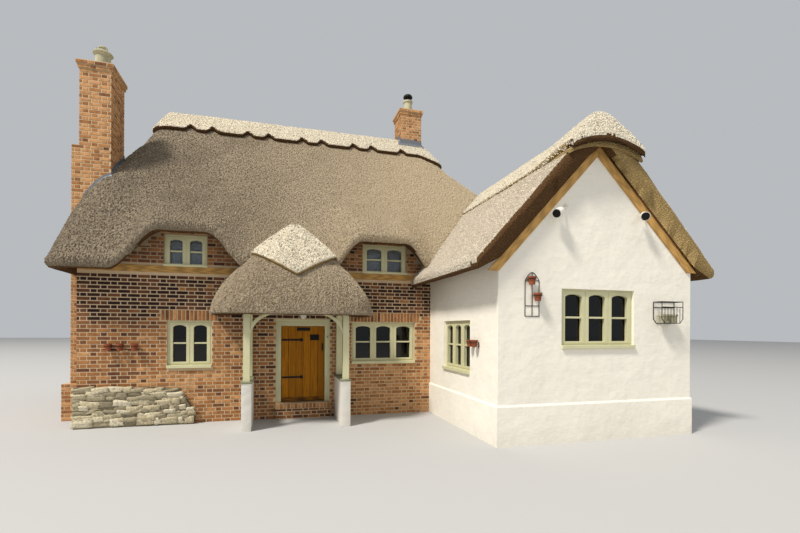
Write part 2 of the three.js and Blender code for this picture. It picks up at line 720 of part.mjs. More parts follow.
// Porch frame: four posts, side and front beams, and a curved brace at each post head
function braceSolid(along, corner, direction, across) {
  const { reach, depth, thickness } = PORCH_BRACE;
  const foot = PORCH.top - PORCH.beam + 1;
  const shape = new THREE.Shape();
  shape.moveTo(corner - direction, foot - reach);
  shape.quadraticCurveTo(
    corner + direction * reach * 0.2, foot - reach * 0.2,
    corner + direction * reach, foot,
  );
  shape.lineTo(corner + direction * (reach - depth * 1.6), foot);
  shape.quadraticCurveTo(
    corner + direction * reach * 0.08, foot - reach * 0.08 - depth * 0.3,
    corner - direction, foot - reach + depth * 1.6,
  );
  const plate = along === 'x' ? plateAcross : plateAlong;
  const geometry = plate(shape, across - thickness / 2, across + thickness / 2, 6);
  return solidOf(geometry);
}

function porchFrame() {
  const { x0, x1, yFront, yRear, post, top, beam } = PORCH;
  const half = post / 2;
  const upright = (x, y, foot) => box(x - half, x + half, y - half, y + half, foot, top);
  const posts = [x0, x1].flatMap((x) => [
    upright(x, yFront, PORCH_PLINTH.top + GAP), upright(x, yRear, PORCH_PLINTH.top + GAP),
  ]);
  const sides = [x0, x1].map((x) => box(x - half, x + half, yFront, yRear, top - beam, top));
  const front = box(x0, x1, yFront - half, yFront + half, top - beam, top);
  const braces = [
    braceSolid('x', x0 + half, 1, yFront), braceSolid('x', x1 - half, -1, yFront),
    braceSolid('y', yFront + half, 1, x0), braceSolid('y', yFront + half, 1, x1),
  ];
  return join([...posts, ...sides, front, ...braces]).intersect(porchUnder(GAP));
}

// A dwarf wall with a stone cap, from under the front post back to the house
function porchPlinth(x) {
  const { side, top, cap, lip } = PORCH_PLINTH;
  const half = side / 2;
  const front = PORCH.yFront - half;
  const back = MAIN.y0 - GAP;
  const shaft = box(x - half, x + half, front, back, 0, top - 1);
  return shaft.add(box(x - half - lip, x + half + lip, front - lip, back, top - cap, top));
}

// Front door
function doorFrame() {
  const { x0, x1, top } = DOORWAY;
  const { jamb, head, y0, y1 } = DOOR_FRAME;
  const foot = STEP_TOP + GAP;
  const shape = polygon([
    [x0 + GAP, foot], [x0 + jamb, foot], [x0 + jamb, top - head], [x1 - jamb, top - head],
    [x1 - jamb, foot], [x1 - GAP, foot], [x1 - GAP, top - GAP], [x0 + GAP, top - GAP],
  ]);
  const hinges = HINGE.z.map(doorHinge);
  return join([solidOf(plateAcross(shape, y0, y1)), ...hinges]);
}

// A butt hinge behind the frame: a barrel on the door's axis and a flap on the jamb
function doorHinge(z) {
  const { radius, height, flap } = HINGE;
  const [x, y] = doorAxis();
  const barrel = new THREE.CylinderGeometry(radius, radius, height, 16).rotateX(Math.PI / 2);
  const plate = box(x - flap, x, DOOR_FRAME.y1 - 1, DOOR_FRAME.y1 + 4, z - height / 2, z + height / 2);
  return solidOf(barrel.translate(x, y, z)).add(plate);
}

// The upright axis that the door turns about, as X and Y
function doorAxis() {
  const x = DOORWAY.x0 + DOOR_FRAME.jamb + LEAF.clear / 2;
  return [x, LEAF.y0 + LEAF.thickness + HINGE.radius + GAP];
}

const LEAF_X0 = DOORWAY.x0 + DOOR_FRAME.jamb + LEAF.clear;
const LEAF_X1 = DOORWAY.x1 - DOOR_FRAME.jamb - LEAF.clear;

function doorLeaf() {
  const { thickness, bottom, top, y0 } = LEAF;
  return box(LEAF_X0, LEAF_X1, y0, y0 + thickness, bottom, top);
}

// A long iron strap that ends in a ring
function doorStrap(z) {
  const { x0, length, height, thickness } = STRAP;
  const start = LEAF_X0 + x0;
  const tip = start + length;
  const shape = new THREE.Shape();
  shape.moveTo(start, z - height / 2);
  shape.lineTo(tip - height, z - height / 2);
  shape.absarc(tip - height * 0.2, z, height * 0.95, -2.56, 2.56, false);
  shape.lineTo(start, z + height / 2);
  return solidOf(plateAcross(shape, LEAF.y0 - thickness - GAP, LEAF.y0 - GAP, 10));
}

function doorLatch() {
  const { x, z0, z1, width } = LATCH;
  const left = LEAF_X0 + x - width / 2;
  const plate = box(left, left + width, LEAF.y0 - 6 - GAP, LEAF.y0 - GAP, z0, z1);
  const knob = box(left + 7, left + 27, LEAF.y0 - 48, LEAF.y0 - 5, z1 - 62, z1 - 42);
  return plate.add(knob);
}

function doorStep() {
  return box(DOORWAY.x0 + GAP, DOORWAY.x1 - GAP, MAIN.y0 - 120, MAIN.y0 + WALL - GAP, 0, STEP_TOP);
}

// Rubble footing along the left of the front wall, its top falling at the right end
function rubbleFooting() {
  const { x0, x1, reach, topLeft, topRight, foot, slopeAt } = RUBBLE;
  const shape = polygon([[x0, 0], [x1, 0], [x1, foot], [slopeAt, topRight], [x0, topLeft]]);
  return solidOf(plateAcross(shape, MAIN.y0 - reach, MAIN.y0 - GAP));
}

// Floors
function groundFloor() {
  const inner = { x0: MAIN.x0 + WALL + GAP, x1: MAIN.x1 - WALL - GAP, y0: MAIN.y0 + WALL + GAP };
  const outline = polygon([
    [inner.x0, inner.y0], [WING.x0 + WALL + GAP, inner.y0], [WING.x0 + WALL + GAP, WING.y0 + WALL + GAP],
    [inner.x1, WING.y0 + WALL + GAP], [inner.x1, -inner.y0], [inner.x0, -inner.y0],
  ]);
  const options = { depth: FLOOR_TOP, bevelEnabled: false };
  return solidOf(new THREE.ExtrudeGeometry(outline, options));
}

function upperFloor() {
  const { bottom, top } = UPPER_FLOOR;
  const slab = box(
    MAIN.x0 + WALL + GAP, MAIN.x1 - WALL - GAP, MAIN.y0 + WALL + GAP, MAIN.y1 - WALL - GAP, bottom, top,
  );
  return slab.subtract(stackHoles[1]);
}

// Assembly
const cottage = new THREE.Group();

function place(name, solid, material) {
  const mesh = new THREE.Mesh(geometryOf(solid), material);
  mesh.name = name;
  cottage.add(mesh);
}

const holes = (...names) => names.map(windowHole);
const inner = { x0: MAIN.x0 + WALL, x1: MAIN.x1 - WALL, y0: MAIN.y0 + WALL, y1: MAIN.y1 - WALL };
const wingReturn = WING.x0 + WALL;

place('front_wall_left', wall(
  [MAIN.x0, DOORWAY.x0, MAIN.y0, inner.y0], holes('window_ground_left', 'window_upper_left'), underMain,
), paints.brick);
place('front_wall_right', wall(
  [DOORWAY.x1, wingReturn, MAIN.y0, inner.y0], holes('window_ground_right', 'window_upper_right'), underMain,
), paints.brick);
place('front_wall_over_door', box(
  DOORWAY.x0 + GAP, DOORWAY.x1 - GAP, MAIN.y0, inner.y0, DOORWAY.top, WALL_TOP_LIMIT,
).intersect(underMain), paints.brick);
place('left_wall_front', wall(
  [MAIN.x0, inner.x0, inner.y0 + GAP, LEFT_STACK.y0 - GAP], [], underMain,
), paints.brick);
place('left_wall_rear', wall(
  [MAIN.x0, inner.x0, LEFT_STACK.y1 + GAP, inner.y1 - GAP], [], underMain,
), paints.brick);
place('back_wall', wall([MAIN.x0, MAIN.x1, inner.y1, MAIN.y1], holes(
  'window_back_ground_left', 'window_back_ground_right',
  'window_back_upper_left', 'window_back_upper_right',
), underMain), paints.brick);
place('right_wall', wall(
  [inner.x1, MAIN.x1, MAIN.y0 + GAP, inner.y1 - GAP], [], underMain,
), paints.brick);
place('wing_left_wall', wall(
  [WING.x0, wingReturn, WING.y0 + WALL + GAP, MAIN.y0 - GAP], holes('window_wing_left'), underWing,
), paints.render);
place('wing_gable_wall', wall(
  [WING.x0, WING.x1, WING.y0, WING.y0 + WALL], holes('window_gable'), underWing,
), paints.render);
place('wing_right_wall', wall(
  [inner.x1, WING.x1, WING.y0 + WALL + GAP, MAIN.y0], holes('window_wing_right'), underWing,
), paints.render);
place('rubble_footing', rubbleFooting(), paints.rubble);
place('ground_floor', groundFloor(), paints.floor);
place('upper_floor', upperFloor(), paints.boards);

place('main_thatch', mainThatch(), paints.thatch);
place('main_ridge_cap', mainRidgeCap(), paints.ridge);
place('wing_thatch', wingThatch(), paints.wingThatch);
place('wing_ridge_cap', wingRidgeCap(), paints.ridge);
place('porch_thatch', porchThatch(), paints.thatch);
place('porch_ridge_cap', porchRidgeCap(), paints.ridge);
place('bargeboard_left', bargeboard(-1), paints.oak);
place('bargeboard_right', bargeboard(1), paints.oak);

place('left_chimney', leftStack(), paints.chimney);
place('left_chimney_pot', potSolid(LEFT_STACK, LEFT_POT), paints.clay);
place('right_chimney', rightStack(), paints.chimney);
place('right_chimney_pot', potSolid(RIGHT_STACK, RIGHT_POT), paints.clay);
place('right_chimney_cowl', cowlSolid(), paints.iron);

place('porch_frame', porchFrame(), paints.frame);
place('porch_plinth_left', porchPlinth(PORCH.x0), paints.plinth);
place('porch_plinth_right', porchPlinth(PORCH.x1), paints.plinth);

place('door_frame', doorFrame(), paints.frame);
place('door_step', doorStep(), paints.brick);
place('front_door', doorLeaf(), paints.door);
place('door_strap_lower', doorStrap(STRAP.z[0]), paints.iron);
place('door_strap_upper', doorStrap(STRAP.z[1]), paints.iron);
place('door_latch', doorLatch(), paints.iron);

Object.keys(WINDOWS).forEach((name) => {
  place(name, windowFrame(name), paints.frame);
  place(name.replace('window', 'glass'), windowPane(name), paints.glass);
});

export default cottage;
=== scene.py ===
"""Looks of the thatched cottage, built around its packed frame. Metres, +Z up."""

import json
import math

import bmesh
import bpy
import mathutils.noise
import numpy as np
from bpy.props import FloatProperty, FloatVectorProperty, IntProperty, PointerProperty
from mathutils import Matrix, Vector

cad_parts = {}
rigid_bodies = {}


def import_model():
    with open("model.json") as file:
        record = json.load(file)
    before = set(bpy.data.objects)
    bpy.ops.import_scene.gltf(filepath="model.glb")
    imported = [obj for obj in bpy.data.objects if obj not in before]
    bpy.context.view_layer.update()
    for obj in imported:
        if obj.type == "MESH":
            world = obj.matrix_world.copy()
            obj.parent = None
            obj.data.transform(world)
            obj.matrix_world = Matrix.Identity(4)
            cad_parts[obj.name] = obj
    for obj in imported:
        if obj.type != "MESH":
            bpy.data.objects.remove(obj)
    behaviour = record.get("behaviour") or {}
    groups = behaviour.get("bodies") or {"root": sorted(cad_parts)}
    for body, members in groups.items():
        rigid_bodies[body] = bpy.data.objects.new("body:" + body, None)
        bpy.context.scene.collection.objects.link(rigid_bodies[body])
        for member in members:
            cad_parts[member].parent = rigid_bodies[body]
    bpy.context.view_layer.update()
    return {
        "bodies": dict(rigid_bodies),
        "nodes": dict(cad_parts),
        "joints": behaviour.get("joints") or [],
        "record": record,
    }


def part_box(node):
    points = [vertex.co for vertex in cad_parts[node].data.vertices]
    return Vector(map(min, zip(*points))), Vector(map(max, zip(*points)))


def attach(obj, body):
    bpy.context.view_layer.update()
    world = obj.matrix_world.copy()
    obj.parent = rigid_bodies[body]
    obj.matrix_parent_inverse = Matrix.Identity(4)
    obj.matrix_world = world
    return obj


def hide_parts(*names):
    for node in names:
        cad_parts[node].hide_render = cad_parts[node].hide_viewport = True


bl_info = {
    "name": "Thatched cottage",
    "version": (1, 0, 0),
    "blender": (4, 5, 0),
    "location": "View3D > Sidebar > Cottage",
    "description": "Dresses the frame of a thatched cottage with straw, brick, lime and oak",
    "category": "Object",
}

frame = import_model()
NODES = frame["nodes"]
HOUSE, DOOR = "cottage", "door"
WINDOWS = sorted(name for name in NODES if name.startswith("window_"))
PANES = sorted(name for name in NODES if name.startswith("glass_"))
MATERIALS, TREES = {}, {}


def paint(red, green, blue):
    """A colour as a paint chart gives it, 0 to 255, turned to linear light."""
    return tuple(
        (c / 255 / 12.92) if c < 11 else ((c / 255 + 0.055) / 1.055) ** 2.4
        for c in (red, green, blue)
    )


def length(name, text, value, low=0.0, high=10.0):
    return FloatProperty(
        name=name, description=text, default=value, min=low, max=high, subtype="DISTANCE", unit="LENGTH"
    )


def colour(name, text, value):
    return FloatVectorProperty(
        name=name, description=text, default=value, size=3, min=0, max=1, subtype="COLOR"
    )


def number(name, text, value, low=0.0, high=1.0):
    return FloatProperty(name=name, description=text, default=value, min=low, max=high)


class ThatchLook(bpy.types.PropertyGroup):
    """Sizes and colours of the straw."""

    stub_length: length("Stub length", "How far a straw end shows on the slope", 0.05)
    stub_width: length("Stub width", "Width of one clump of straw ends", 0.0115)
    main_density: number("Main density", "Straw ends on a square metre of the main roof", 640, 0, 5000)
    small_density: number("Small density", "Straw ends on a square metre of the wing and porch", 560, 0, 5000)
    cap_density: number("Cap density", "Straw ends on a square metre of a ridge cap", 1500, 0, 9000)
    ruffle: length("Ruffle", "How far the dressed surface waves in and out", 0.016)
    shoulder: length("Shoulder", "Rise of the straw against the big chimney", 0.24)
    weathered: colour("Weathered straw", "Body of the old straw", paint(130, 119, 104))
    bleached: colour("Bleached straw", "Palest old straw", paint(188, 172, 146))
    shaded: colour("Shaded straw", "Gaps between the old straw", paint(96, 82, 64))
    golden: colour("Golden straw", "Newer straw near the valley", paint(207, 188, 157))
    ridge: colour("Ridge straw", "Body of the newer ridge caps", paint(250, 240, 218))
    silver: colour("Silvered straw", "Slopes of the wing", paint(194, 182, 164))
    # Dark partly as cut straw ends are and partly as painted shade of the undersides and cut edges.
    cut_edge_and_shade: colour("Cut edge", "Straw ends under the eaves", paint(110, 80, 50))
    # Golden cut straw. On the wing's verge it is the lit side, and the left side takes painted shade.
    verge: colour("Verge", "Cut face of the straw over the gable", paint(196, 166, 112))


class BrickLook(bpy.types.PropertyGroup):
    """Sizes and colours of the brickwork."""

    course: length("Course", "Height of one brick and its bed joint", 0.08)
    stretcher: length("Stretcher", "Length of a brick and its joint", 0.24)
    header: length("Header", "Width of a brick and its joint", 0.122)
    joint: length("Joint", "Thickness of the mortar", 0.021)
    proud: length("Proud", "How far a brick stands out of its mortar", 0.007)
    burnt: colour("Burnt brick", "Darkest, purple bricks", paint(44, 27, 28))
    red: colour("Red brick", "Common bricks", paint(106, 66, 46))
    orange: colour("Orange brick", "Bright bricks", paint(164, 110, 64))
    buff: colour("Buff brick", "Palest bricks", paint(202, 150, 100))
    mortar: colour("Mortar", "Lime mortar", paint(216, 190, 154))
    stone: colour("Rubble stone", "Stones of the footing", paint(214, 200, 166))


class JoineryLook(bpy.types.PropertyGroup):
    """Colours of walls, woodwork and metal."""

    limewash: colour("Limewash", "Walls of the wing", paint(246, 240, 226))
    sage: colour("Sage paint", "Windows, porch and door frame", paint(208, 204, 164))
    oak: colour("Oak", "Bargeboards and wall plates", paint(206, 160, 92))
    door: colour("Door oak", "Varnished boards of the front door", paint(206, 132, 10))
    iron: colour("Iron", "Black ironwork", paint(30, 28, 27))
    lead: colour("Lead", "Flashings at the chimneys", paint(110, 114, 120))
    clay: colour("Clay", "Chimney pots", paint(190, 184, 154))
    masonry: colour("White masonry", "Piers of the porch", paint(240, 236, 226))
    glazing_bar: length("Glazing bar", "Face width of a glazing bar", 0.034)


class StageLook(bpy.types.PropertyGroup):
    """Floor, lights and camera."""

    floor: colour("Floor", "Colour of the floor", (0.5, 0.495, 0.485))
    key: number("Key", "Strength of the large light", 2.6, 0, 50)
    sky: number("Sky", "Strength of the soft light all round", 0.52, 0, 10)
    lens: number("Lens", "Focal length in millimetres", 20.06, 5, 300)
    seed: IntProperty(name="Seed", description="Seed of everything scattered", default=11)


def look(name):
    return getattr(bpy.context.scene, "cottage_" + name)


# Node trees


class Net:
    """Adds nodes to one tree. Most calls give back what the new node puts out."""

    def __init__(self, tree, place=None):
        self.tree, self.place = tree, place

    def fill(self, socket, value):
        """Links what another node puts out to a socket, or sets the socket's own value."""
        if isinstance(value, bpy.types.NodeSocket):
            self.tree.links.new(value, socket)
        else:
            socket.default_value = (*value, 1) if socket.type == "RGBA" and len(value) == 3 else value

    def add(self, kind, settings=None, **inputs):
        """One node. Inputs are named with _ for a space, or i0, i1 ... for a place in the list."""
        node = self.tree.nodes.new(kind)
        for key, value in (settings or {}).items():
            setattr(node, key, value)
        for key, value in inputs.items():
            if value is not None:
                listed = key[0] == "i" and key[1:].isdigit()
                self.fill(node.inputs[int(key[1:]) if listed else key.replace("_", " ")], value)
        return node

    def first(self, kind, settings=None, **inputs):
        """The first output of a new node."""
        return self.add(kind, settings, **inputs).outputs[0]

    def math(self, operation, first, second=None, third=None, clamp=False):
        settings = {"operation": operation, "use_clamp": clamp}
        return self.first("ShaderNodeMath", settings, i0=first, i1=second, i2=third)

    def times(self, first, second):
        return self.math("MULTIPLY", first, second)

    def blend(self, factor, first, second, kind="MIX"):
        settings = {"data_type": "RGBA", "blend_type": kind}
        return self.add("ShaderNodeMix", settings, i0=factor, i6=first, i7=second).outputs[2]

    def spread(self, value, low, high, new_low=0.0, new_high=1.0):
        """A value stretched from one range to another, smoothly and clamped."""
        settings = {"interpolation_type": "SMOOTHSTEP"}
        return self.first("ShaderNodeMapRange", settings, i0=value, i1=low, i2=high, i3=new_low, i4=new_high)

    def ramp(self, value, *stops):
        """Colours at places along a value."""
        node = self.add("ShaderNodeValToRGB", i0=value)
        band = node.color_ramp.elements
        while len(band) < len(stops):
            band.new(0.5)
        for element, (place, shade) in zip(band, stops):
            element.position, element.color = place, (*shade, 1)
        return node.outputs[0]

    def noise(self, scale, detail=2.0, rough=0.5, place=None):
        """Cloudy values. A scale of three numbers draws them out along the axes."""
        place = place or self.place
        if isinstance(scale, tuple):
            place, scale = self.stretched(place, scale), 1.0
        node = self.add("ShaderNodeTexNoise", Vector=place, Scale=scale, Detail=detail, Roughness=rough)
        return node.outputs["Fac"]

    def stretched(self, place, scale):
        return self.first("ShaderNodeVectorMath", {"operation": "MULTIPLY"}, i0=place, i1=scale)

    def parts(self, vector=None):
        """The X, Y and Z of a vector."""
        return self.add("ShaderNodeSeparateXYZ", Vector=vector or self.place).outputs

    def effect(self, name, **inputs):
        """One of the shared effects."""
        inputs = {"Vector": self.place, **inputs}
        return self.add("ShaderNodeGroup", {"node_tree": bpy.data.node_groups[name]}, **inputs).outputs

    def patches(self, size, low, high):
        return self.effect("patches", Size=size, Low=low, High=high)["Mask"]

    def speckle(self, size, sharpness):
        return self.effect("speckle", Size=size, Sharpness=sharpness)["Mask"]

    def attribute(self, name):
        settings = {"attribute_type": "GEOMETRY", "attribute_name": name}
        return self.add("ShaderNodeAttribute", settings).outputs["Fac"]


class Group(Net):
    """A node group. Its inputs and outputs are named with their kind, or with their number to start from."""

    def __init__(self, name, inputs, outputs, kind="ShaderNodeTree"):
        super().__init__(bpy.data.node_groups.new(name, kind))
        for side, sockets in (("INPUT", inputs), ("OUTPUT", outputs)):
            for label, what in sockets.items():
                shape = what if isinstance(what, str) else "Int" if isinstance(what, int) else "Float"
                wanted = {"name": label, "in_out": side, "socket_type": "NodeSocket" + shape}
                socket = self.tree.interface.new_socket(**wanted)
                if shape != what:
                    socket.default_value = what
        self.given = self.tree.nodes.new("NodeGroupInput").outputs
        self.place = self.given.get("Vector")
        self.out = self.tree.nodes.new("NodeGroupOutput").inputs


class Finish(Net):
    """A new material on Object coordinates, with its Principled shader."""

    def __init__(self, name):
        made = bpy.data.materials.new(name)
        made.use_nodes = True
        super().__init__(made.node_tree)
        nodes = self.tree.nodes
        nodes.clear()
        self.shader = nodes.new("ShaderNodeBsdfPrincipled")
        self.fill(nodes.new("ShaderNodeOutputMaterial").inputs[0], self.shader.outputs[0])
        self.place = nodes.new("ShaderNodeTexCoord").outputs["Object"]
        MATERIALS[name] = made

    def done(self, shade, rough, height=None, strength=0.4, depth=0.01, specular=0.3, **more):
        """Fills the shader. shade, rough and height may come from nodes; more are inputs named with _."""
        values = {"Base_Color": shade, "Roughness": rough, "Specular_IOR_Level": specular, **more}
        for name, value in values.items():
            self.fill(self.shader.inputs[name.replace("_", " ")], value)
        if height is not None:
            bump = self.add("ShaderNodeBump", Strength=strength, Distance=depth, Height=height)
            self.fill(self.shader.inputs["Normal"], bump.outputs[0])


# Effects that several materials share


def speckle_effect():
    """Fine grains with soft edges, such as straw ends seen from a distance."""
    inputs = {"Vector": "Vector", "Size": 0.05, "Sharpness": 0.5}
    net = Group("speckle", inputs, {"Mask": "Float"})
    given = net.given
    scale = net.math("DIVIDE", 1.0, given["Size"])
    fine = net.noise(scale, 2.5, 0.6)
    cells = net.add("ShaderNodeTexVoronoi", {"feature": "F1"}, Vector=given["Vector"], Scale=scale)
    grains = net.math("SUBTRACT", 1.0, cells.outputs["Distance"])
    both = net.math("MULTIPLY_ADD", grains, 0.45, net.times(fine, 0.55))
    half = net.times(net.math("SUBTRACT", 1.0, given["Sharpness"]), 0.4)
    low = net.math("SUBTRACT", 0.55, half)
    net.fill(net.out["Mask"], net.spread(both, low, net.math("ADD", 0.56, half)))


def patch_effect():
    """Broad cloudy patches, such as weather stains."""
    inputs = {"Vector": "Vector", "Size": 1.0, "Low": 0.35, "High": 0.7}
    net = Group("patches", inputs, {"Mask": "Float"})
    given = net.given
    cloud = net.noise(net.math("DIVIDE", 1.0, given["Size"]), 4.0, 0.55)
    net.fill(net.out["Mask"], net.spread(cloud, given["Low"], given["High"]))


def straw_effect():
    """Colour and height of dressed straw on a slope."""
    shades = dict.fromkeys(("Pale", "Body", "Dark"), "Color")
    inputs = {"Vector": "Vector", "Slope": "Vector", **shades, "Grain": 0.05}
    net = Group("straw", inputs, {"Color": "Color", "Height": "Float"})
    given = net.given
    grain = net.speckle(given["Grain"], 0.35)
    cloud = net.patches(1.4, 0.3, 0.75)
    streak = net.noise((14.0, 0.9, 1.0), 3.0, 0.6, given["Slope"])
    body = net.blend(net.spread(streak, 0.35, 0.7), given["Dark"], given["Body"])
    body = net.blend(0.55, given["Body"], body)
    body = net.blend(net.times(grain, 0.6), body, given["Pale"])
    net.fill(net.out["Color"], net.blend(net.times(cloud, 0.35), body, given["Dark"], "MULTIPLY"))
    net.fill(net.out["Height"], net.math("MULTIPLY_ADD", streak, 0.4, grain))


def wood_effect():
    """Long grain with darker growth lines and small knots, along one stretched axis."""
    inputs = {"Vector": "Vector", "Pale": "Color", "Dark": "Color", "Coarse": 1.0}
    net = Group("wood", inputs, {"Color": "Color", "Height": "Float"})
    given = net.given
    fibre = net.noise(net.times(given["Coarse"], 3.0), 5.0, 0.65)
    wave = net.add(
        "ShaderNodeTexWave", {"wave_type": "BANDS", "bands_direction": "X"}, Vector=given["Vector"],
        Scale=given["Coarse"], Distortion=7.0, Detail=3.0, Detail_Scale=1.2,
    ).outputs["Fac"]
    lines = net.math("MULTIPLY_ADD", wave, 0.4, net.times(fibre, 0.75))
    net.fill(net.out["Color"], net.blend(net.spread(lines, 0.25, 0.85), given["Dark"], given["Pale"]))
    net.fill(net.out["Height"], lines)


def brick_effect():
    """Colour and height of a fired brick from its own tint between 0, burnt, and 1, buff."""
    shades = dict.fromkeys(("Burnt", "Red", "Orange", "Buff"), "Color")
    inputs = {"Vector": "Vector", "Tint": 0.5, **shades}
    net = Group("fired brick", inputs, {"Color": "Color", "Height": "Float"})
    given = net.given
    shade = given["Burnt"]
    for low, high, name in ((0.05, 0.4, "Red"), (0.35, 0.72, "Orange"), (0.72, 1.0, "Buff")):
        shade = net.blend(net.spread(given["Tint"], low, high), shade, given[name])
    smoke = net.patches(0.09, 0.42, 0.78)
    shade = net.blend(net.times(smoke, 0.55), shade, given["Burnt"])
    sand = net.noise(120.0, 3.0, 0.6)
    dust = net.times(net.spread(sand, 0.55, 0.75), 0.25)
    net.fill(net.out["Color"], net.blend(dust, shade, given["Buff"]))
    net.fill(net.out["Height"], sand)


def side_effect():
    """1 on faces inside the rooms of the house, 0 outside."""
    net = Group("indoors", {"Vector": "Vector"}, {"Mask": "Float"})
    place = net.parts()
    across = net.math("LESS_THAN", net.math("ABSOLUTE", place[0]), 5.51)
    across = net.times(across, net.math("LESS_THAN", place[2], 3.5))
    back = net.math("LESS_THAN", place[1], 3.03)
    main = net.math("GREATER_THAN", place[1], -2.94)
    wing = net.times(net.math("GREATER_THAN", place[1], -6.4), net.math("GREATER_THAN", place[0], 1.83))
    either = net.math("MAXIMUM", main, wing)
    net.fill(net.out["Mask"], net.times(net.times(across, back), either))


EFFECTS = (speckle_effect, patch_effect, straw_effect, wood_effect, brick_effect, side_effect)


# Materials


def darker(shade, by):
    return tuple(c * by for c in shade)


def between(first, second):
    """The colour half way between two."""
    return tuple(0.5 * (a + b) for a, b in zip(first, second))


def newer_straw(net, shade, golden):
    """Turns straw golden towards the right end of the main slope. Without golden it stays as it is."""
    if not golden:
        return shade
    along = net.parts()[0]
    edge = net.math("MULTIPLY_ADD", net.noise(0.9, 3.0, 0.55), 2.4, along)
    newer = net.spread(edge, -4.4, 5.0, 0.0, 0.88)
    fresh = net.blend(net.speckle(0.03, 0.2), darker(golden, 0.7), golden)
    return net.blend(newer, shade, fresh)


def thatch_coat(name, pale, body, dark, golden=None):
    """Dressed straw of a coat. golden turns newer towards the valley with the wing."""
    net = Finish(name)
    slope = net.first("ShaderNodeUVMap", {"uv_map": "slope"})
    straw = net.effect("straw", Slope=slope, Pale=pale, Body=body, Dark=dark, Grain=0.045)
    net.done(newer_straw(net, straw["Color"], golden), 0.95, straw["Height"], 0.9, 0.03, 0.1)


def straw_ends(name, pale, body, dark, golden=None, speck=0.0, streak=(8.0, 0.7, 0.7)):
    """Loose straw ends, each with its own tint, in streaks that run down the slope."""
    net = Finish(name)
    tint = net.attribute("tint")
    stops = (0.0, darker(dark, 0.85)), (0.22, between(dark, body)), (0.5, body), (0.76, body), (0.95, pale)
    shade = net.ramp(tint, *stops)
    lines = net.noise(streak, 4.0, 0.65)
    shade = net.blend(net.spread(lines, 0.45, 0.7, 0.0, 0.5), shade, darker(body, 0.7))
    cloud = net.patches(1.1, 0.3, 0.7)
    shade = newer_straw(net, net.blend(net.times(cloud, 0.45), shade, body), golden)
    if speck:
        shade = net.blend(net.math("LESS_THAN", tint, speck), shade, darker(dark, 0.35))
    net.done(shade, 0.9, specular=0.15)


def cut_straw(name, shade):
    """The cut underside and edge of a coat: dense dark straw ends."""
    net = Finish(name)
    grain = net.speckle(0.03, 0.6)
    layer = net.noise((1.5, 1.5, 22.0), 3.0, 0.6)
    body = net.blend(grain, darker(shade, 0.5), shade)
    body = net.blend(net.spread(layer, 0.4, 0.65, 0.0, 0.5), body, darker(shade, 0.55))
    net.done(body, 0.95, grain, 0.9, 0.015, 0.1)


def fired_bricks(name, lift=0.0):
    """Bricks whose tint attribute picks the colour. lift moves every tint."""
    bricks, net = look("brick"), Finish(name)
    tint = net.math("ADD", net.attribute("tint"), lift, clamp=True)
    shades = {shade.capitalize(): getattr(bricks, shade) for shade in ("burnt", "red", "orange", "buff")}
    face = net.effect("fired brick", Tint=tint, **shades)
    net.done(face["Color"], 0.88, face["Height"], 0.5, 0.004, 0.2)


def lime_mortar(name, shade, plaster=paint(226, 220, 206)):
    """Sanded lime mortar, darkened as painted shade under the eyebrows, and plaster on the faces that look into
    the rooms.
    """
    net = Finish(name)
    sand = net.noise(160.0, 4.0, 0.7)
    stain = net.patches(0.7, 0.35, 0.75)
    body = net.blend(sand, darker(shade, 0.72), shade)
    body = net.blend(net.times(stain, 0.3), body, darker(shade, 0.6))
    x, _, z = net.parts()
    # Painted shade: the mortar between 3.3 m and 4.6 m, under the straw of the eaves and eyebrows, is darkened.
    under = net.times(net.spread(z, 3.3, 3.4), net.spread(z, 4.6, 4.5))
    under = net.times(under, net.math("LESS_THAN", net.math("ABSOLUTE", x), 5.4))
    body = net.blend(net.times(under, 0.7), body, darker(shade, 0.42))
    inside = net.effect("indoors")["Mask"]
    net.done(net.blend(inside, body, plaster), 0.95, sand, 0.5, 0.004, 0.15)


def lime_render(name, shade):
    """Limewashed render with trowel waves, faint stains and a darker foot."""
    net = Finish(name)
    wave = net.noise(2.2, 4.0, 0.55)
    brush = net.noise((5.0, 5.0, 30.0), 4.0, 0.6)
    stain = net.patches(1.6, 0.4, 0.8)
    body = net.blend(net.times(stain, 0.5), shade, darker(shade, 0.86))
    body = net.blend(net.spread(brush, 0.45, 0.8, 0.0, 0.25), body, darker(shade, 0.8))
    damp = net.math("MULTIPLY_ADD", wave, 0.5, net.parts()[2])
    body = net.blend(net.spread(damp, 0.15, 0.75, 0.3, 0.0), body, darker(shade, 0.66))
    net.done(body, 0.85, net.math("MULTIPLY_ADD", brush, 0.06, wave), 0.55, 0.06, 0.25)


def rubble_stone(name, shade):
    """Chalky field stone with a tint of its own."""
    net = Finish(name)
    grit = net.noise(28.0, 6.0, 0.7)
    stops = (0.0, darker(shade, 0.34)), (0.35, darker(shade, 0.66)), (0.7, shade), (1.0, paint(226, 216, 190))
    face = net.ramp(net.attribute("tint"), *stops)
    face = net.blend(net.spread(grit, 0.35, 0.6, 0.55, 0.0), face, darker(shade, 0.3))
    net.done(face, 0.92, grit, 0.9, 0.02, 0.15)


def oiled_wood(name, shade, axis, coat=0.0, rough=0.55, dark=0.35, turn=0.0):
    """Timber with its grain along one axis, or along that axis turned in the plane of the front."""
    net = Finish(name)
    place = net.place
    if turn:
        settings = {"rotation_type": "Y_AXIS"}
        place = net.first("ShaderNodeVectorRotate", settings, Vector=place, Angle=math.radians(turn))
    scale = tuple(1.1 if one == axis else 26.0 for one in "XYZ")
    fibre = net.stretched(place, scale)
    grain = net.effect("wood", Vector=fibre, Pale=shade, Dark=darker(shade, dark), Coarse=0.8)
    body = grain["Color"]
    if "tint" in name:
        own = net.spread(net.attribute("tint"), 0.0, 1.0, 0.7, 0.0)
        body = net.blend(own, body, darker(shade, 0.4))
    net.done(body, rough, grain["Height"], 0.35, 0.004, 0.15, Coat_Weight=coat, Coat_Roughness=0.25)


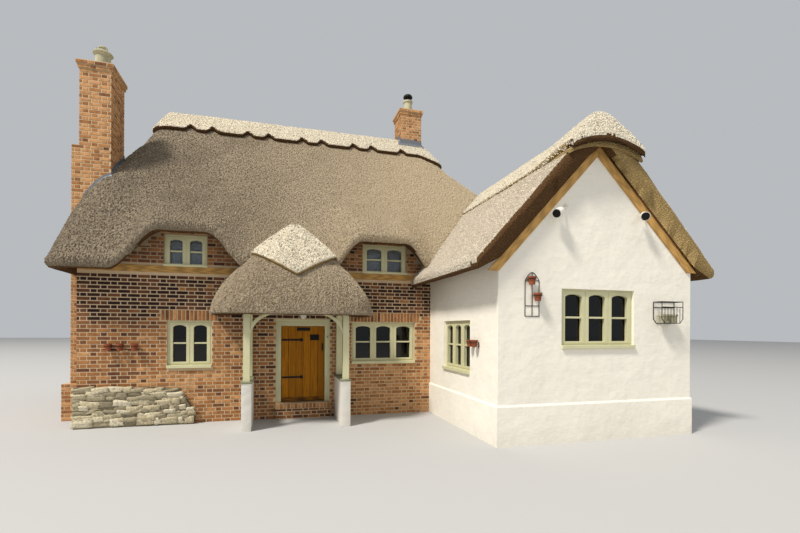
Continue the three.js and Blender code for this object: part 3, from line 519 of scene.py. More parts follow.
def painted_wood(name, shade):
    """Brushed eggshell paint over grain, a little worn and dusty."""
    net = Finish(name)
    brush = net.noise((60.0, 60.0, 7.0), 4.0, 0.6)
    dust = net.patches(0.35, 0.4, 0.8)
    body = net.blend(net.times(dust, 0.4), shade, darker(shade, 0.74))
    body = net.blend(net.spread(brush, 0.5, 0.8, 0.0, 0.25), body, darker(shade, 0.7))
    net.done(body, net.spread(dust, 0.0, 1.0, 0.42, 0.62), brush, 0.3, 0.003, 0.4)


def forged(name, shade, metal=0.7, rough=0.55):
    """Forged or beaten metal, slightly uneven and dusty."""
    net = Finish(name)
    beat = net.noise(34.0, 3.0, 0.6)
    dusty = tuple(c * 1.7 + 0.01 for c in shade)
    body = net.blend(net.spread(beat, 0.4, 0.8, 0.0, 0.5), shade, dusty)
    net.done(body, rough, beat, 0.5, 0.006, 0.4, Metallic=metal)


def fired_clay(name, shade):
    """Old clay, with dark sooty patches and mottled with lichen."""
    net = Finish(name)
    spots = net.speckle(0.03, 0.5)
    stain = net.patches(0.18, 0.35, 0.7)
    body = net.blend(net.times(stain, 0.55), shade, darker(shade, 0.42))
    body = net.blend(net.times(spots, 0.3), body, darker(shade, 0.6))
    net.done(body, 0.85, spots, 0.35, 0.004, 0.25)


def window_glass(name, shade, clear):
    """Old glass, faintly wavy. clear is the share of light that it lets through."""
    net = Finish(name)
    wave = net.noise(5.0)
    tone = net.blend(wave, darker(shade, 0.5), shade)
    net.done(tone, 0.04, wave, 0.08, 0.01, 0.12, Transmission_Weight=clear, IOR=1.45)


def cloth(name, shade):
    """Plain woven curtain cloth."""
    net = Finish(name)
    weave = net.noise((700.0, 700.0, 500.0))
    body = net.blend(net.spread(weave, 0.3, 0.7), darker(shade, 0.86), shade)
    net.done(body, 0.9, weave, 0.2, 0.001, 0.2)


def stone_floor(name, shade):
    """Flagstones with dark joints."""
    net = Finish(name)
    slabs = net.add(
        "ShaderNodeTexBrick", Vector=net.place, Color1=shade, Color2=darker(shade, 0.7),
        Mortar=darker(shade, 0.3), Scale=1.0, Mortar_Size=0.012, Brick_Width=0.62, Row_Height=0.45,
    )
    grit = net.noise(22.0, 5.0, 0.6)
    body = net.blend(net.spread(grit, 0.4, 0.7, 0.0, 0.4), slabs.outputs["Color"], darker(shade, 0.5))
    net.done(body, 0.8, grit, 0.4, 0.006, 0.3)


def make_materials():
    """Every effect and material of the cottage."""
    for build in EFFECTS:
        build()
    straw, bricks, joinery = look("thatch"), look("brick"), look("joinery")
    pale, body, dark, golden, ridge = straw.bleached, straw.weathered, straw.shaded, straw.golden, straw.ridge
    porch, cap_gold = between(body, between(golden, pale)), darker(ridge, 0.87)
    thatch_coat("main_straw", pale, body, dark, golden)
    straw_ends("main_ends", pale, body, dark, golden)
    thatch_coat("porch_straw", pale, porch, dark)
    straw_ends("porch_ends", pale, porch, dark)
    thatch_coat("wing_straw", ridge, straw.silver, darker(straw.silver, 0.7))
    across = (0.5, 5.0, 0.5)
    straw_ends("wing_ends", darker(ridge, 0.8), straw.silver, darker(straw.silver, 0.88), streak=across)
    thatch_coat("ridge_straw", ridge, darker(ridge, 0.86), darker(ridge, 0.5), cap_gold)
    straw_ends("ridge_ends", ridge, darker(ridge, 0.84), darker(ridge, 0.62), cap_gold, 0.04)
    straw_ends("spotted_ends", ridge, darker(ridge, 0.84), darker(ridge, 0.5), speck=0.11)
    # The dark cut straw of the undersides and cut edges is partly painted shade.
    cut_straw("cut_straw", straw.cut_edge_and_shade)
    cut_straw("verge_straw", straw.verge)
    # Painted shade: the left of the wing's verge takes the dark cut edge colour, and the golden verge straw is
    # its lit side.
    cut_straw("dark_verge", straw.cut_edge_and_shade)
    fired_bricks("brick")
    fired_bricks("chimney_brick", 0.31)
    lime_mortar("mortar", bricks.mortar)
    lime_mortar("earth_mortar", darker(bricks.stone, 0.3))
    lime_render("render", joinery.limewash)
    lime_render("masonry", joinery.masonry)
    rubble_stone("stone", bricks.stone)
    oiled_wood("oak_left", joinery.oak, "X", 0.05, 0.6, 0.66, 46.7)
    oiled_wood("oak_right", joinery.oak, "X", 0.05, 0.6, 0.66, -45.3)
    # Painted shade: the wall plate under the eaves is a darker copy of the oak.
    oiled_wood("oak_plate", darker(joinery.oak, 0.85), "X", 0.0, 0.7, 0.55)
    oiled_wood("boards", paint(150, 112, 70), "X", 0.0, 0.6)
    oiled_wood("door_tint", joinery.door, "Z", 0.0, 0.55, 0.18)
    oiled_wood("door_rail", darker(joinery.door, 0.42), "X", 0.05, 0.5, 0.3)
    painted_wood("sage", joinery.sage)
    forged("iron", joinery.iron)
    forged("lead", joinery.lead, 0.35, 0.6)
    fired_clay("clay", joinery.clay)
    fired_clay("terracotta", paint(150, 84, 56))
    fired_clay("capstone", paint(140, 140, 112))
    # Painted shade: these panes are tinted near black so the rooms behind them read dark.
    window_glass("glass", paint(22, 24, 24), 0.8)
    # Painted reflection: the upper panes are pale blue-white, standing in for the sky reflected in them.
    window_glass("clear_glass", paint(200, 212, 224), 0.78)
    cloth("curtain", paint(244, 244, 240))
    stone_floor("flags", paint(150, 142, 128))


# Mesh helpers


def placed(name, mesh, materials=()):
    """A mesh as an object at the origin, in the scene."""
    for one in materials:
        mesh.materials.append(MATERIALS[one])
    made = bpy.data.objects.new(name, mesh)
    bpy.context.scene.collection.objects.link(made)
    return made


def mesh_object(name, points, faces, materials=()):
    mesh = bpy.data.meshes.new(name)
    mesh.from_pydata([tuple(p) for p in points], [], [tuple(f) for f in faces])
    mesh.validate()
    return placed(name, mesh, materials)


def poured(name, form, materials=()):
    """Turns a bmesh into a mesh object."""
    mesh = bpy.data.meshes.new(name)
    form.to_mesh(mesh)
    form.free()
    return placed(name, mesh, materials)


def from_bmesh(name, form, materials=()):
    """Turns a bmesh into a mesh object with its faces outwards."""
    bmesh.ops.recalc_face_normals(form, faces=form.faces)
    return poured(name, form, materials)


def settled(source, name):
    """A plain copy of an object with its modifiers worked in. The source is removed."""
    bpy.context.view_layer.update()
    evaluated = source.evaluated_get(bpy.context.evaluated_depsgraph_get())
    made = placed(name, bpy.data.meshes.new_from_object(evaluated))
    discard(source)
    made.name = made.data.name = name
    return made


def discard(*things):
    for thing in things:
        bpy.data.objects.remove(thing)


def carved(source, name, *cutters):
    """A plain copy of the source without the shapes of the cutters, which are removed too."""
    for cutter in cutters:
        bite = source.modifiers.new("Bite", "BOOLEAN")
        bite.operation, bite.object, bite.solver = "DIFFERENCE", cutter, "MANIFOLD"
    made = settled(source, name)
    discard(*cutters)
    return made


def bevelled(source, width):
    edge = source.modifiers.new("Arris", "BEVEL")
    edge.width, edge.segments = width, 2
    edge.limit_method, edge.angle_limit = "ANGLE", math.radians(35)
    edge.use_clamp_overlap = True
    return source


def ready(piece, body=HOUSE, stands_for=()):
    """Hands a finished piece to the frame."""
    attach(piece, body)
    if stands_for:
        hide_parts(*stands_for)
    return piece


def shaped(name, form, shade, arris=0.0, body=HOUSE, stands_for=()):
    """A finished piece from a bmesh, with soft edges where it has an arris."""
    made = from_bmesh(name, form, (shade,))
    if arris:
        made = settled(bevelled(made, arris), name)
    return ready(made, body, stands_for)


def softened(node, name, shades, arris, body=HOUSE):
    """A finished piece in place of a node, with the node's shape and soft edges."""
    form = bmesh.new()
    form.from_mesh(NODES[node].data)
    bmesh.ops.remove_doubles(form, verts=form.verts, dist=0.0001)
    bmesh.ops.dissolve_limit(
        form, angle_limit=math.radians(1.0), verts=form.verts, edges=form.edges, use_dissolve_boundaries=False
    )
    form.normal_update()
    return ready(settled(bevelled(poured(name, form, shades), arris), name), body, (node,))


def dress(material_name, *nodes):
    """Nodes keep their shape and get a better material."""
    for node in nodes:
        slots = NODES[node].data.materials
        slots.clear()
        slots.append(MATERIALS[material_name])


def sort_faces(mesh, rule):
    """Gives each face the material slot that the rule picks from its normal and middle."""
    for face in mesh.polygons:
        face.material_index = rule(face.normal, face.center)
    smoothed(mesh)


def smoothed(mesh):
    mesh.polygons.foreach_set("use_smooth", [True] * len(mesh.polygons))


def give(mesh, name, kind, values):
    """A named attribute of the points, filled with values."""
    made = mesh.attributes.new(name, kind, "POINT")
    flat = np.asarray(values, np.float32 if kind != "INT" else np.int32).ravel()
    made.data.foreach_set("vector" if kind == "FLOAT_VECTOR" else "value", flat)


def block(form, low, high):
    """Adds a box between two corners to a bmesh."""
    low, high = Vector(low), Vector(high)
    size = Matrix.Diagonal((*(high - low), 1))
    bmesh.ops.create_cube(form, size=1.0, matrix=Matrix.Translation((low + high) / 2) @ size)


def rod(form, start, end, radius, sides=8, end_radius=None):
    """Adds a round or tapered rod to a bmesh."""
    start, end = Vector(start), Vector(end)
    along = end - start
    place = Matrix.Translation((start + end) / 2) @ along.to_track_quat("Z", "Y").to_matrix().to_4x4()
    end_radius = radius if end_radius is None else end_radius
    bmesh.ops.create_cone(
        form, cap_ends=True, segments=sides, radius1=radius, radius2=end_radius,
        depth=along.length, matrix=place,
    )


def bars(form, radius, *runs):
    """Adds bent bars through lists of points."""
    for run in runs:
        for a, b in zip(run, run[1:]):
            rod(form, a, b, radius, 6)


def on_circle(middle, radius, turn, up=0.0):
    """A place on a level circle."""
    return middle[0] + radius * math.cos(turn), middle[1] + radius * math.sin(turn), middle[2] + up


def join_rings(form, rings, right_round=False):
    """Adds faces between rings of equal count, from each to the next, or right round to the first again."""
    for low, high in zip(rings, rings[1:] + rings[:1] if right_round else rings[1:]):
        for i in range(len(low)):
            j = (i + 1) % len(low)
            form.faces.new((low[i], low[j], high[j], high[i]))


def turned(form, centre, outline, sides=20):
    """Adds a solid turned about a vertical line, from (radius, height) points."""
    turns = [2 * math.pi * i / sides for i in range(sides)]
    rings = [[form.verts.new(on_circle(centre, radius, turn, z)) for turn in turns] for radius, z in outline]
    join_rings(form, rings)
    form.faces.new(rings[0][::-1])
    form.faces.new(rings[-1])


# Geometry node trees


def finish_tree(net, geometry):
    """Ends a tree with real meshes in the material given."""
    real = net.first("GeometryNodeRealizeInstances", Geometry=geometry)
    done = net.add("GeometryNodeSetMaterial", Geometry=real, Material=net.given["Material"])
    net.fill(net.out["Geometry"], done.outputs[0])
    return net.tree


def blocks_tree():
    """Lays bricks or stones on points, each with its own size, turn, kind and tint."""
    blocks = {"Block A": "Object", "Block B": "Object", "Block C": "Object"}
    inputs = {"Geometry": "Geometry", **blocks, "Material": "Material"}
    net = Group("lay blocks", inputs, {"Geometry": "Geometry"}, "GeometryNodeTree")
    given = net.given
    points = net.add("GeometryNodeMeshToPoints", {"mode": "VERTICES"}, Mesh=given["Geometry"], Radius=0.001)
    kinds = net.tree.nodes.new("GeometryNodeGeometryToInstance")
    for name in reversed(blocks):
        one = net.add("GeometryNodeObjectInfo", {"transform_space": "ORIGINAL"}, Object=given[name])
        net.fill(kinds.inputs[0], one.outputs["Geometry"])

    def named(name, kind):
        node = net.add("GeometryNodeInputNamedAttribute", {"data_type": kind}, Name=name)
        return node.outputs["Attribute"]

    turn = net.first("FunctionNodeEulerToRotation", i0=named("turn", "FLOAT_VECTOR"))
    laid = net.add(
        "GeometryNodeInstanceOnPoints", Points=points.outputs[0], Instance=kinds.outputs[0],
        Pick_Instance=True, Instance_Index=named("kind", "INT"), Rotation=turn,
        Scale=named("extent", "FLOAT_VECTOR"),
    )
    return finish_tree(net, laid.outputs[0])


def stubble_tree():
    """Scatters short straw ends over the outward faces of a coat, pointing down the slope."""
    inputs = {
        "Geometry": "Geometry", "Density": 500.0, "Length": 0.07, "Width": 0.02, "Lift": 0.006,
        "Steepest": 0.12, "Wander": 0.35, "Facing": "Vector", "Seed": 1, "Material": "Material",
    }
    net = Group("stubble", inputs, {"Geometry": "Geometry"}, "GeometryNodeTree")
    add, first, given = net.add, net.first, net.given
    normal = net.tree.nodes.new("GeometryNodeInputNormal").outputs[0]
    place = net.tree.nodes.new("GeometryNodeInputPosition").outputs[0]
    up = net.parts(normal)[2]
    flat = first("FunctionNodeCompare", {"operation": "GREATER_THAN"}, i0=up, i1=given["Steepest"])
    side = add("ShaderNodeVectorMath", {"operation": "DOT_PRODUCT"}, i0=place, i1=given["Facing"])
    near = first("FunctionNodeCompare", {"operation": "GREATER_EQUAL"}, i0=side.outputs["Value"], i1=0.0)
    chosen = first("FunctionNodeBooleanMath", {"operation": "AND"}, i0=flat, i1=near)
    points = add(
        "GeometryNodeDistributePointsOnFaces", {"distribute_method": "RANDOM"}, Mesh=given["Geometry"],
        Selection=chosen, Density=given["Density"], Seed=given["Seed"],
    ).outputs

    def random(low, high, step, kind="FLOAT"):
        seed = net.math("ADD", given["Seed"], float(step))
        node = add("FunctionNodeRandomValue", {"data_type": kind}, Seed=seed)
        start, result = (0, 0) if kind == "FLOAT_VECTOR" else (2, 1)
        node.inputs[start].default_value, node.inputs[start + 1].default_value = low, high
        return node.outputs[result]

    stand = first("FunctionNodeAlignRotationToVector", {"axis": "Z"}, Vector=points["Normal"])
    settings = {"axis": "X", "pivot_axis": "Z"}
    down = first("FunctionNodeAlignRotationToVector", settings, Rotation=stand, Vector=(0.0, 0.0, -1.0))
    spin = first("ShaderNodeCombineXYZ", Z=net.times(random(-1.0, 1.0, 1), given["Wander"]))
    loose = first("FunctionNodeRotateRotation", {"rotation_space": "LOCAL"}, Rotation=down, Rotate_By=spin)
    stub = first(
        "GeometryNodeMeshCone", {"fill_type": "NGON"}, Vertices=3, Side_Segments=1, Radius_Top=0.0,
        Radius_Bottom=given["Width"], Depth=given["Length"],
    )
    raised = first("ShaderNodeCombineXYZ", Z=given["Lift"])
    lying = (0.0, math.radians(-98.0), 0.0)
    laid_down = first("GeometryNodeTransform", Geometry=stub, Rotation=lying, Translation=raised)
    laid = first(
        "GeometryNodeInstanceOnPoints", Points=points["Points"], Instance=laid_down, Rotation=loose,
        Scale=random((0.5, 0.55, 0.5), (1.4, 1.35, 1.25), 2, "FLOAT_VECTOR"),
    )
    tinted = first(
        "GeometryNodeStoreNamedAttribute", {"data_type": "FLOAT", "domain": "INSTANCE"}, Geometry=laid,
        Name="tint", Value=random(0.0, 1.0, 3),
    )
    return finish_tree(net, tinted)


def grown(source, name, tree, **values):
    """A plain mesh object made by a node tree on a source object, which is removed."""
    modifier = source.modifiers.new(name, "NODES")
    modifier.node_group = tree
    for item in tree.interface.items_tree:
        if item.in_out == "INPUT" and item.name.replace(" ", "_") in values:
            modifier[item.identifier] = values[item.name.replace(" ", "_")]
    return settled(source, name)


# Shapes of the straw coats, the same rules as the frame's solids


def mix(a, b, t):
    return a + (b - a) * t


def smooth(t):
    s = min(max(t, 0.0), 1.0)
    return s * s * (3 - 2 * s)


FRONT_Y, BACK_Y, LEFT_X = -3.1, 3.1, -5.8
STILE, MULLION, SILL = 0.058, 0.052, 0.06
CURTAINS = (("window_upper_left", 0, 0.0), ("window_upper_left", 1, 0.0), ("window_upper_right", 0, 0.8))
CURTAIN_DEPTH, CURTAIN_THICKNESS = 0.19, 0.0012
EAVE = {"x0": -6.225, "x1": 6.3, "y": 3.65, "z": 3.35}
RIDGE = {"x0": -4.62, "x1": 2.15, "z": 7.9}
SEAT = {"x0": -5.8, "x1": 5.8, "y": 3.1, "z": 3.445}
INNER_RIDGE = {"x0": -4.4, "x1": 1.8, "z": 7.27}
REACH, INNER_REACH = 0.965, 0.96
FRONT_BROWS, BACK_BROWS = ((-3.79, 0.43), (0.385, 0.5)), ((-2.6, 0.43), (2.6, 0.43))
BROW_FOOT, BROW_RISE, BROW_DEPTH = 1.33, 0.79, 1.85
CAP_FROM, CAP_FRONT = 0.845, -6.9
SCALLOPS = [first + 1.45 * n for first in (-4.157, -3.616) for n in range(6)]
MAIN_COUNTS = {"side": 8, "corner": 8, "long": 150}
WING_MID, WING_HALF, WING_RIDGE, WING_LIP, WING_LEAN = 3.68, 2.5, 5.9, 3.19, 0.0225
WING_FACE_Y, VERGE_Y, VERGE_BACK, WING_BACK_Y, WING_CROWN = -6.56, -6.78, -6.64, -0.9, 0.26
WING_UNDERSIDE, WING_SEAT, WING_APEX, WING_X0, WING_X1 = 3.01, 3.23, 5.37, 1.665, 5.8
WING_FALL = (WING_RIDGE - WING_LIP) / WING_HALF
WING_SHOULDER, WING_TOP = WING_RIDGE - WING_CROWN * WING_FALL, WING_RIDGE - WING_CROWN * WING_FALL / 2
HOOD_Z, HOOD_REACH, HOOD_SIDE = 5.34, 0.5, 1.0
PORCH_MID = -1.5925
PORCH_EAVE = {"half": 1.64, "tip": 0.015, "y": -4.6, "ridge_y": -3.64, "z": 2.37, "ridge_z": 4.18}
PORCH_INNER = {"half": 1.04, "tip": 0.025, "y": -4.27, "ridge_y": -3.64, "z": 2.3, "ridge_z": 3.88}
PORCH_UNDERSIDE, PORCH_BACK_Y, PORCH_ROUND, PORCH_CURVE = 2.275, -2.5, 0.9, 1.65
PORCH_COUNTS = {"side": 10, "corner": 14, "long": 22}


def eyebrow_lift(x, y):
    """How far the eave swells up over the upper windows."""
    inward = min(max((EAVE["y"] - abs(y)) / BROW_DEPTH, 0.0), 1.0)
    fade = 0.5 * (1 + math.cos(math.pi * inward))
    brows = FRONT_BROWS if y < 0 else BACK_BROWS
    return BROW_RISE * fade * max(1 - smooth((abs(x - mid) - flat) / (BROW_FOOT - flat)) for mid, flat in brows)


def main_ring(t, lower, upper):
    """A ring of the main roof, from its lower ring at 0 to its upper ring at 1."""
    corner = 0.42 + 0.5 * t
    return {
        "x0": mix(lower["x0"], upper["x0"], t ** 2.1), "x1": mix(lower["x1"], upper["x1"], t),
        "y0": -lower["y"] * (1 - t), "y1": lower["y"] * (1 - t), "z": mix(lower["z"], upper["z"], t),
        "left": corner, "right": corner, "lift": eyebrow_lift,
    }


def porch_ring(t, form):
    """A ring drawn end on: its left end is the front of the porch."""
    inward = t ** PORCH_CURVE
    half = mix(form["half"], form["tip"], inward)
    return {
        "x0": mix(form["y"], form["ridge_y"], inward), "x1": PORCH_BACK_Y, "y0": -half, "y1": half,
        "z": mix(form["z"], form["ridge_z"], t), "left": PORCH_ROUND, "right": 0.02, "lift": lambda x, y: 0.0,
    }


def half_ring(ring, side, counts):
    """The front or back half of a ring with rounded corners."""
    middle, span = (ring["y0"] + ring["y1"]) / 2, abs(ring["y1"] - ring["y0"]) / 2
    left, right = min(ring["left"], span * 0.85), min(ring["right"], span * 0.85)
    x0, x1, corner, ends, long = ring["x0"], ring["x1"], counts["corner"], counts["side"], counts["long"]
    turns = [math.pi / 2 * i / corner for i in range(corner + 1)]
    places = [(x0, (span - left) * i / ends) for i in range(ends)]
    places += [(x0 + left - left * math.cos(turn), span - left + left * math.sin(turn)) for turn in turns]
    places += [(mix(x0 + left, x1 - right, i / long), span) for i in range(1, long)]
    places += [(x1 - right + right * math.sin(turn), span - right + right * math.cos(turn)) for turn in turns]
    places += [(x1, (span - right) * (1 - i / ends)) for i in range(1, ends + 1)]
    points = [(x, middle + side * out) for x, out in places]
    return [(x, y, ring["z"] + ring["lift"](x, y)) for x, y in points]


def ring_points(ring, counts):
    """One ring, anticlockwise from above: along the front, back behind."""
    return half_ring(ring, -1, counts) + half_ring(ring, 1, counts)[1:-1][::-1]


def half_count(counts):
    return counts["side"] * 2 + counts["corner"] * 2 + counts["long"] + 1


def moved(ring, out, z):
    """A ring pushed outwards and set at another height."""
    grown_by = {"x0": -out, "x1": out, "y0": -out, "y1": out}
    return {**ring, **{key: ring[key] + by for key, by in grown_by.items()}, "z": z}


def loft(name, loops, half=0, across=False, materials=()):
    """A closed loft through loops of equal count. Its ends are zipped across, or flat where half is 0.

    The slope map holds metres along the loop and metres up the slope, or the other way round with across.
    """
    count, last = len(loops[0]), len(loops) - 1
    points = np.array(loops, float)
    faces = []
    for k in range(last):
        for i in range(count):
            j = (i + 1) % count
            faces.append((k * count + i, k * count + j, (k + 1) * count + j, (k + 1) * count + i))
    if not half:
        faces += [tuple(range(count))[::-1], tuple(range(last * count, last * count + count))]
    for loop, up in ((0, False), (last, True)):
        for i in range(half - 1):
            quad = list(dict.fromkeys((i, i + 1, -(i + 1) % count, -i % count)))
            if len(quad) > 2:
                face = [loop * count + n for n in quad]
                faces.append(face if up else face[::-1])
    made = mesh_object(name, points.reshape(-1, 3), faces, materials)
    along = np.cumsum(np.linalg.norm(points - np.roll(points, 1, axis=1), axis=2), axis=1)
    rise = np.cumsum(np.vstack([np.zeros((1, count)), np.linalg.norm(np.diff(points, axis=0), axis=2)]), axis=0)
    places = np.stack([rise, along] if across else [along, rise], axis=2).reshape(-1, 2)
    corners = np.zeros(len(made.data.loops), np.int32)
    made.data.loops.foreach_get("vertex_index", corners)
    made.data.uv_layers.new(name="slope").data.foreach_set("uv", places[corners].astype(np.float32).ravel())
    return made


def ruffled(source, amount, size=0.55, seed=0.0):
    """Waves the surface a little along its normals, as dressed straw does."""
    mesh = source.data
    place, normal = np.zeros(len(mesh.vertices) * 3), np.zeros(len(mesh.vertices) * 3)
    mesh.vertices.foreach_get("co", place)
    mesh.vertex_normals.foreach_get("vector", normal)
    place, normal = place.reshape(-1, 3), normal.reshape(-1, 3)
    offset = Vector((seed, seed * 2.0, seed * 3.0))
    wave, fine = (
        np.array([mathutils.noise.noise(Vector(p) / grain + offset) for p in place])
        for grain in (size, size * 0.3)
    )
    place += normal * ((wave * 0.7 + fine * 0.3) * amount)[:, None]
    mesh.vertices.foreach_set("co", place.ravel())
    mesh.update()
    return source


def prism(name, outline, y0, y1):
    """A closed prism along Y with the given outline in X and Z."""
    form = bmesh.new()
    rings = [[form.verts.new((x, y, z)) for x, z in outline] for y in (y0, y1)]
    join_rings(form, rings)
    form.faces.new(rings[0][::-1])
    form.faces.new(rings[1])
    return from_bmesh(name, form)


def curve_points(start, bend, end, count):
    """Points on a quadratic curve, without its first point."""
    points = []
    for i in range(1, count + 1):
        t = i / count
        a, b, c = (1 - t) ** 2, 2 * t * (1 - t), t * t
        points.append((a * start[0] + b * bend[0] + c * end[0], a * start[1] + b * bend[1] + c * end[1]))
    return points


def arch(away, crown, share):
    """An arch over the ridge line of the wing, open beyond the sides of its hood."""
    return math.inf if away > HOOD_SIDE else crown - 0.5 * away * away * share


def hood_height(away, y):
    """How high the wing's coat may be where its ridge rolls down over the gable."""
    back = min(max((y - VERGE_Y) / HOOD_REACH, 0.0), 1.0)
    return arch(away, mix(HOOD_Z, WING_TOP, math.sqrt(1 - (1 - back) ** 2)), 1 - back)


def wing_height(away, y, grow):
    """Height of a surface that far above the wing's coat, at a distance from its ridge line."""
    if away < WING_CROWN:
        slope = mix(WING_TOP, WING_SHOULDER, (away / WING_CROWN) ** 2)
    else:
        slope = mix(WING_SHOULDER, WING_LIP, (away - WING_CROWN) / (WING_HALF + grow - WING_CROWN))
    hood = hood_height(away, y)
    near = max(0.07 - abs(slope - hood), 0.0) / 0.07
    return min(slope, hood) - near * near * 0.0175 + grow


def wing_half(y, grow, foot=None):
    """Half the outline of the wing's coat, from its ridge to the middle of its underside."""
    under = WING_UNDERSIDE - grow
    aways = [*np.linspace(0, WING_CROWN, 7), *np.linspace(WING_CROWN, WING_HALF + grow, 30)[1:]]
    half = [(away, wing_height(away, y, grow)) for away in aways]
    half += curve_points(half[-1], (WING_HALF + 0.02 + grow, under), (WING_HALF - 0.06, under), 7)
    if foot is not None:
        half.append((WING_HALF - 0.06, foot))
    return half + [(0.0, under if foot is None else foot)]


def leaning(x, z):
    """The wing's roof leans to the left with height."""
    return x - WING_LEAN * (z - WING_LIP)


def wing_loop(half, y):
    """Mirrors half an outline about the ridge line, into a loop that runs clockwise from the front."""
    both = half + [(-away, z) for away, z in half[-2:0:-1]]
    return [(leaning(WING_MID + away, z), y, z) for away, z in both]


def wing_loft(name, places, grow=0.0, foot=None, materials=()):
    """The wing's coat along Y, through places given as Y and inset."""
    halves = [wing_half(y, grow - inset, foot) for y, inset in places]
    loops = [wing_loop(half, place[0]) for half, place in zip(halves, places)]
    return loft(name, loops, len(halves[0]), True, materials)


def level_places(*runs):
    """Places along Y with no inset, from runs given as first, last and count, each from the end before."""
    return [(y, 0.0) for n, run in enumerate(runs) for y in np.linspace(*run)[1 if n else 0:]]


def wing_form(name, materials=()):
    """The wing's coat, hollow side still full, with a soft roll round its verge."""
    places = [(VERGE_Y, 0.08), (VERGE_Y + 0.01, 0.045), (VERGE_Y + 0.03, 0.02), (VERGE_Y + 0.06, 0.006)]
    behind = VERGE_Y + HOOD_REACH
    places += level_places((VERGE_Y + 0.1, behind, 7), (behind, WING_BACK_Y, 52))
    return wing_loft(name, places, materials=materials)


def verge_cut():
    """What is cut out below the outer edge of the verge: it opens towards the front."""
    pitch = (WING_APEX - WING_SEAT) / (WING_X1 - WING_MID)
    loops = []
    for y in (VERGE_Y - 0.04, VERGE_BACK):
        share = (VERGE_BACK - y) / (VERGE_BACK - VERGE_Y)
        crown = mix(WING_APEX, HOOD_Z - 0.13, share)
        half = [(away, min(WING_APEX + 0.27 * share - away * pitch, arch(away, crown, share)))
                for away in np.linspace(0, 2.83, 48)]
        loops.append(wing_loop(half + [(2.83, -1.0), (0.0, -1.0)], y))
    return loft("verge_cut", loops, len(loops[0]) // 2 + 1)


def main_coat(materials=()):
    """The whole coat of the main roof: hollow side, rolled eave, then the slopes."""
    eave = main_ring(0, EAVE, RIDGE)
    lip = ((-0.07, 3.14), (-0.01, 3.163), (0.015, 3.22), (0.024, 3.2975), (0.018, 3.33))
    rings = [main_ring(t, SEAT, INNER_RIDGE) for t in np.linspace(INNER_REACH, 0, 8)]
    rings += [moved(eave, out, z) for out, z in lip]
    rings += [main_ring(t, EAVE, RIDGE) for t in np.linspace(0, REACH, 44)]
    loops = [ring_points(ring, MAIN_COUNTS) for ring in rings]
    return loft("main_coat", loops, half_count(MAIN_COUNTS), False, materials)


def end_on(ring):
    """The points of a porch ring, turned to face the front."""
    return [(PORCH_MID - y, x, z) for x, y, z in ring_points(ring, PORCH_COUNTS)]


def porch_form(name, drop=0.0, hollow=False, back=0.0, materials=()):
    """The porch roof as a solid: its outside down to the lip, or the hollow below it."""
    eave = porch_ring(0, PORCH_EAVE)
    lip = [{**moved(eave, out, PORCH_UNDERSIDE + up), "x1": PORCH_BACK_Y}
           for out, up in ((-0.06, 0.0), (0.0, 0.014), (0.016, 0.045))]
    if hollow:
        rings = [{**lip[0], "z": -1.0}, lip[0]] + [porch_ring(t, PORCH_INNER) for t in np.linspace(0, 0.95, 9)]
    else:
        rings = lip + [porch_ring(t, PORCH_EAVE) for t in np.linspace(0, 0.97, 34)]
    rings = [{**r, "x1": r["x1"] + back, "z": r["z"] - drop} for r in rings]
    return loft(name, [end_on(ring) for ring in rings], half_count(PORCH_COUNTS), False, materials)


def porch_room():
    """The space behind the front wall, for cutting the porch's straw to it."""
    form = bmesh.new()
    block(form, (-4.5, FRONT_Y, -1.0), (1.5, -1.0, 3.4))
    return from_bmesh("porch_room", form)


# Thatch


def slopes_first(normal, middle):
    """Slot 0 on the slopes, slot 1 on the undersides, whose dark cut straw is partly painted shade."""
    return 0 if normal.z > -0.6 else 1


def stubs(coat, name, density, shade, seed, facing=(0, 0, 0), wander=0.35, lift=0.006, steep=0.12):
    """Straw ends over a coat."""
    straw = look("thatch")
    made = grown(
        placed(name + "_base", coat.data), name, TREES["stubble"], Density=density, Length=straw.stub_length,
        Width=straw.stub_width, Lift=lift, Steepest=steep, Wander=wander, Facing=facing,
        Seed=seed + look("stage").seed, Material=MATERIALS[shade],
    )
    ready(made)


class COTTAGE_OT_main_thatch(bpy.types.Operator):
    """Builds the coat of the main roof with its eyebrows and its straw ends"""

    bl_idname, bl_label = "cottage.main_thatch", "Main thatch"

    def execute(self, context):
        straw = look("thatch")
        coat = ruffled(main_coat(("main_straw", "cut_straw")), straw.ruffle)
        for vert in coat.data.vertices:
            x, y, z = vert.co
            if y < 0 and z > 3.6:
                vert.co.z += straw.shoulder * math.exp(-((x + 5.45) ** 2 + (y + 2.2) ** 2) / 0.28)
        wing = wing_loft("wing_bite", [(VERGE_Y + HOOD_REACH, 0), (WING_BACK_Y, 0)], -0.04, -1.0)
        coat = carved(coat, "main_thatch_coat", wing, porch_form("porch_bite", 0.03))
        sort_faces(coat.data, slopes_first)
        for side, share, seed, facing in (("front", 1.0, 1, (0, -1, 0)), ("back", 0.42, 2, (0, 1, 0))):
            name, density = f"main_thatch_{side}_ends", straw.main_density * share
            stubs(coat, name, density, "main_ends", seed, facing, steep=-0.3)
        ready(coat, stands_for=("main_thatch",))
        return {"FINISHED"}


def wing_part(normal, middle):
    """Slopes, then the right of the cut verge as its lit side, the underside, and the left of the verge in
    painted shade.
    """
    if middle.y < WING_FACE_Y + 0.1 and (normal.y < -0.35 or normal.z < -0.05):
        # Painted shade on the left of the verge, the lit golden straw on its right.
        return 3 if middle.x < WING_MID else 1
    return 0 if normal.z > -0.3 else 2


